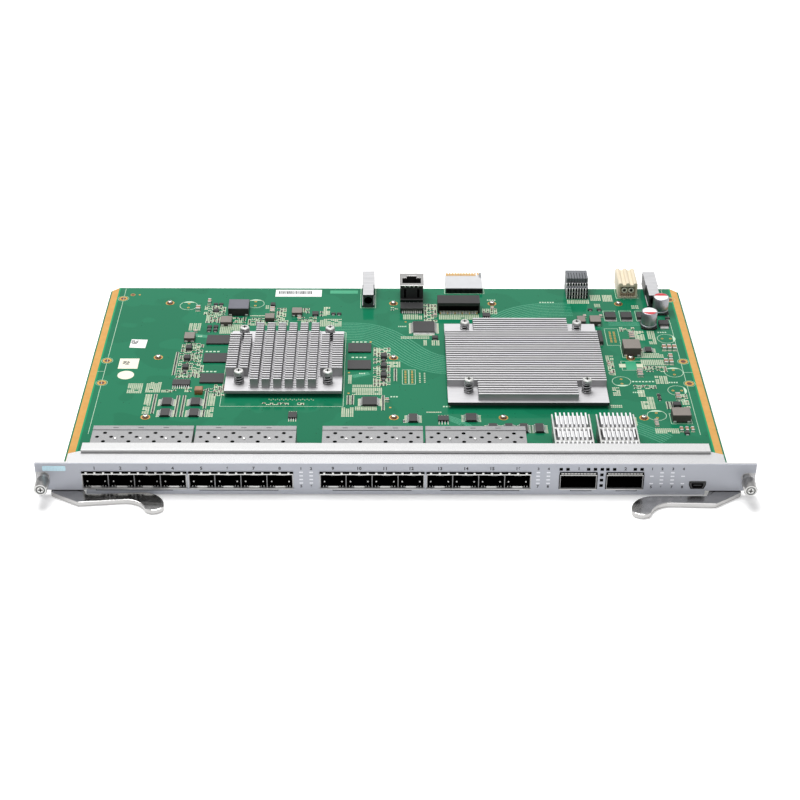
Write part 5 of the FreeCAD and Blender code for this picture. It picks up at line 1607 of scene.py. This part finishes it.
def power_parts(piece):
    """Tabs and leads of the power chips, a tabbed black part, a tan block and two bare pads."""
    for x in (137.9, 148.2, 158.4):
        piece.block(x, 190.4, 6.4, 2.6, 0.0, 0.5, "tin_plate", 0.1)
        for step in range(4):
            piece.block(x - 2.7 + step * 1.8, 199.3, 0.8, 1.8, 0.0, 0.4, "tin_plate")
    x = 171.0
    piece.block(x, 180.6, 5.2, 3.4, 0.0, 1.0, "tin_plate", 0.1)
    piece.block(x, 184.9, 6.4, 5.4, 0.1, 2.4, "chip_epoxy", 0.3)
    for side in (-1, 1):
        piece.block(x + side * 2.3, 189.0, 1.0, 3.2, 0.0, 0.6, "tin_plate")
    x = -117.3
    piece.block(x, 101.2, 4.8, 4.6, 0.1, 3.2, "tan_ceramic", 0.4)
    piece.block(x, 98.8, 4.4, 0.8, 0.0, 1.2, "bright_copper")
    for x in (139.2, 149.9):
        piece.block(x, 133.6, 4.0, 4.2, 0.0, 0.06, "pad_tin")


def leads():
    """The leads of all leaded chips on their pads, and the metal of the power parts."""
    made = Piece("chip_leads")
    for chip in chip_leads:
        leads_of_a_chip(made, *chip)
    power_parts(made)
    made.finished(slot="plain_steel")


# Stage, lights and camera

floor_reach = 4.0
lit_share = 0.3
lamps = (
    # name, place and what it points at, size in metres, power
    ("overhead_lamp", (-200, 420, 1300), (0, 120, 0), 0.9, 24.2),
    ("front_lamp", (250, -1400, 900), (0, 100, 0), 1.0, 6.0))


def floor():
    """A pale floor with the card's shadow, white far away and open to a view from below."""
    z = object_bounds()[0].z
    mesh = bpy.data.meshes.new("floor")
    corners_around = ((-1, -1), (1, -1), (1, 1), (-1, 1))
    mesh.from_pydata([(u * floor_reach, v * floor_reach, z) for u, v in corners_around], [], [(0, 1, 2, 3)])
    ground = Finish("floor_paper", paint(246, 246, 246), 0.8, emission_strength=1.0)
    ground.set("Alpha", 1 - ground.node("ShaderNodeNewGeometry", output="Backfacing"))
    mottled = ground.blended(ground.noise(200.0), paint(248, 248, 248), paint(252, 252, 252))
    ground.set("Base Color", mottled)
    away = ground.node("ShaderNodeVectorMath", {"operation": "LENGTH"}, {0: ground.place()}, "Value")
    far = ground.stepped(away, 0.35, 1.3)
    ground.set("Emission Color", ground.seen_directly() * (far * 0.8 + 0.21))
    mesh.materials.append(ground.material)
    plane = bpy.data.objects.new("floor", mesh)
    bpy.context.scene.collection.objects.link(plane)
    plane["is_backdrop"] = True


def surround():
    """An even surround: white to the eye and in metal, and dimmer as a light."""
    world = bpy.data.worlds.new("studio")
    world.use_nodes = True
    bpy.context.scene.world = world
    air = Wiring(world.node_tree)
    background = air.nodes["Background"]
    air.join(background.inputs["Color"], (1, 1, 1, 1))
    air.join(background.inputs["Strength"], air.seen_directly() * (1 - lit_share) + lit_share)


def light_up():
    """Two broad soft lamps."""
    for name, place, target, size, power in lamps:
        lamp = bpy.data.lights.new(name, "AREA")
        lamp.shape = "SQUARE"
        lamp.size = size
        lamp.energy = power
        holder = bpy.data.objects.new(name, lamp)
        holder.location = at(*place)
        holder.rotation_euler = (at(*target) - at(*place)).to_track_quat("-Z", "Y").to_euler()
        bpy.context.scene.collection.objects.link(holder)


camera_place = (-4.6, -820.4, 560.6)
camera_pitch = math.radians(31.54)
camera_yaw = math.radians(0.456)
camera_roll = math.radians(0.338)
camera_focal_pixels = 1806.4
photo_width = 800


def camera():
    """The camera at the photograph's viewing angle."""
    lens = bpy.data.cameras.new("camera")
    lens.sensor_width = 36.0
    lens.lens = camera_focal_pixels / photo_width * lens.sensor_width
    lens.clip_start = 0.01
    lens.clip_end = 20.0
    cos_yaw, sin_yaw = math.cos(camera_yaw), math.sin(camera_yaw)
    cos_pitch, sin_pitch = math.cos(camera_pitch), math.sin(camera_pitch)
    right = Vector((cos_yaw, -sin_yaw, 0))
    ahead = Vector((sin_yaw * cos_pitch, cos_yaw * cos_pitch, -sin_pitch))
    down = Vector((-sin_yaw * sin_pitch, -cos_yaw * sin_pitch, -cos_pitch))
    across = right * math.cos(camera_roll) - down * math.sin(camera_roll)
    below = right * math.sin(camera_roll) + down * math.cos(camera_roll)
    axes = Matrix((across, -below, -ahead)).transposed()
    holder = bpy.data.objects.new("camera", lens)
    holder.matrix_world = Matrix.Translation(at(*camera_place)) @ axes.to_4x4()
    bpy.context.scene.collection.objects.link(holder)
    bpy.context.scene.camera = holder


def main():
    bpy.context.scene.view_settings.view_transform = "Standard"
    dress_solids()
    for make in (port_linings, port_fingers, wide_port_linings, wide_port_fingers, light_marks, face_label,
                 socket_rim, sealing_strip_foot, bracket_lines, face_numbers, window_backs, cage_tops,
                 connector_details, captive_knobs, pivot_rivets, hidden_springs, spring_screws,
                 board_screws, capacitors, small_parts, black_parts, stack_capacitors, board_print,
                 gold_pads, traces, stickers, leads, floor, surround, light_up, camera):
        make()


main()
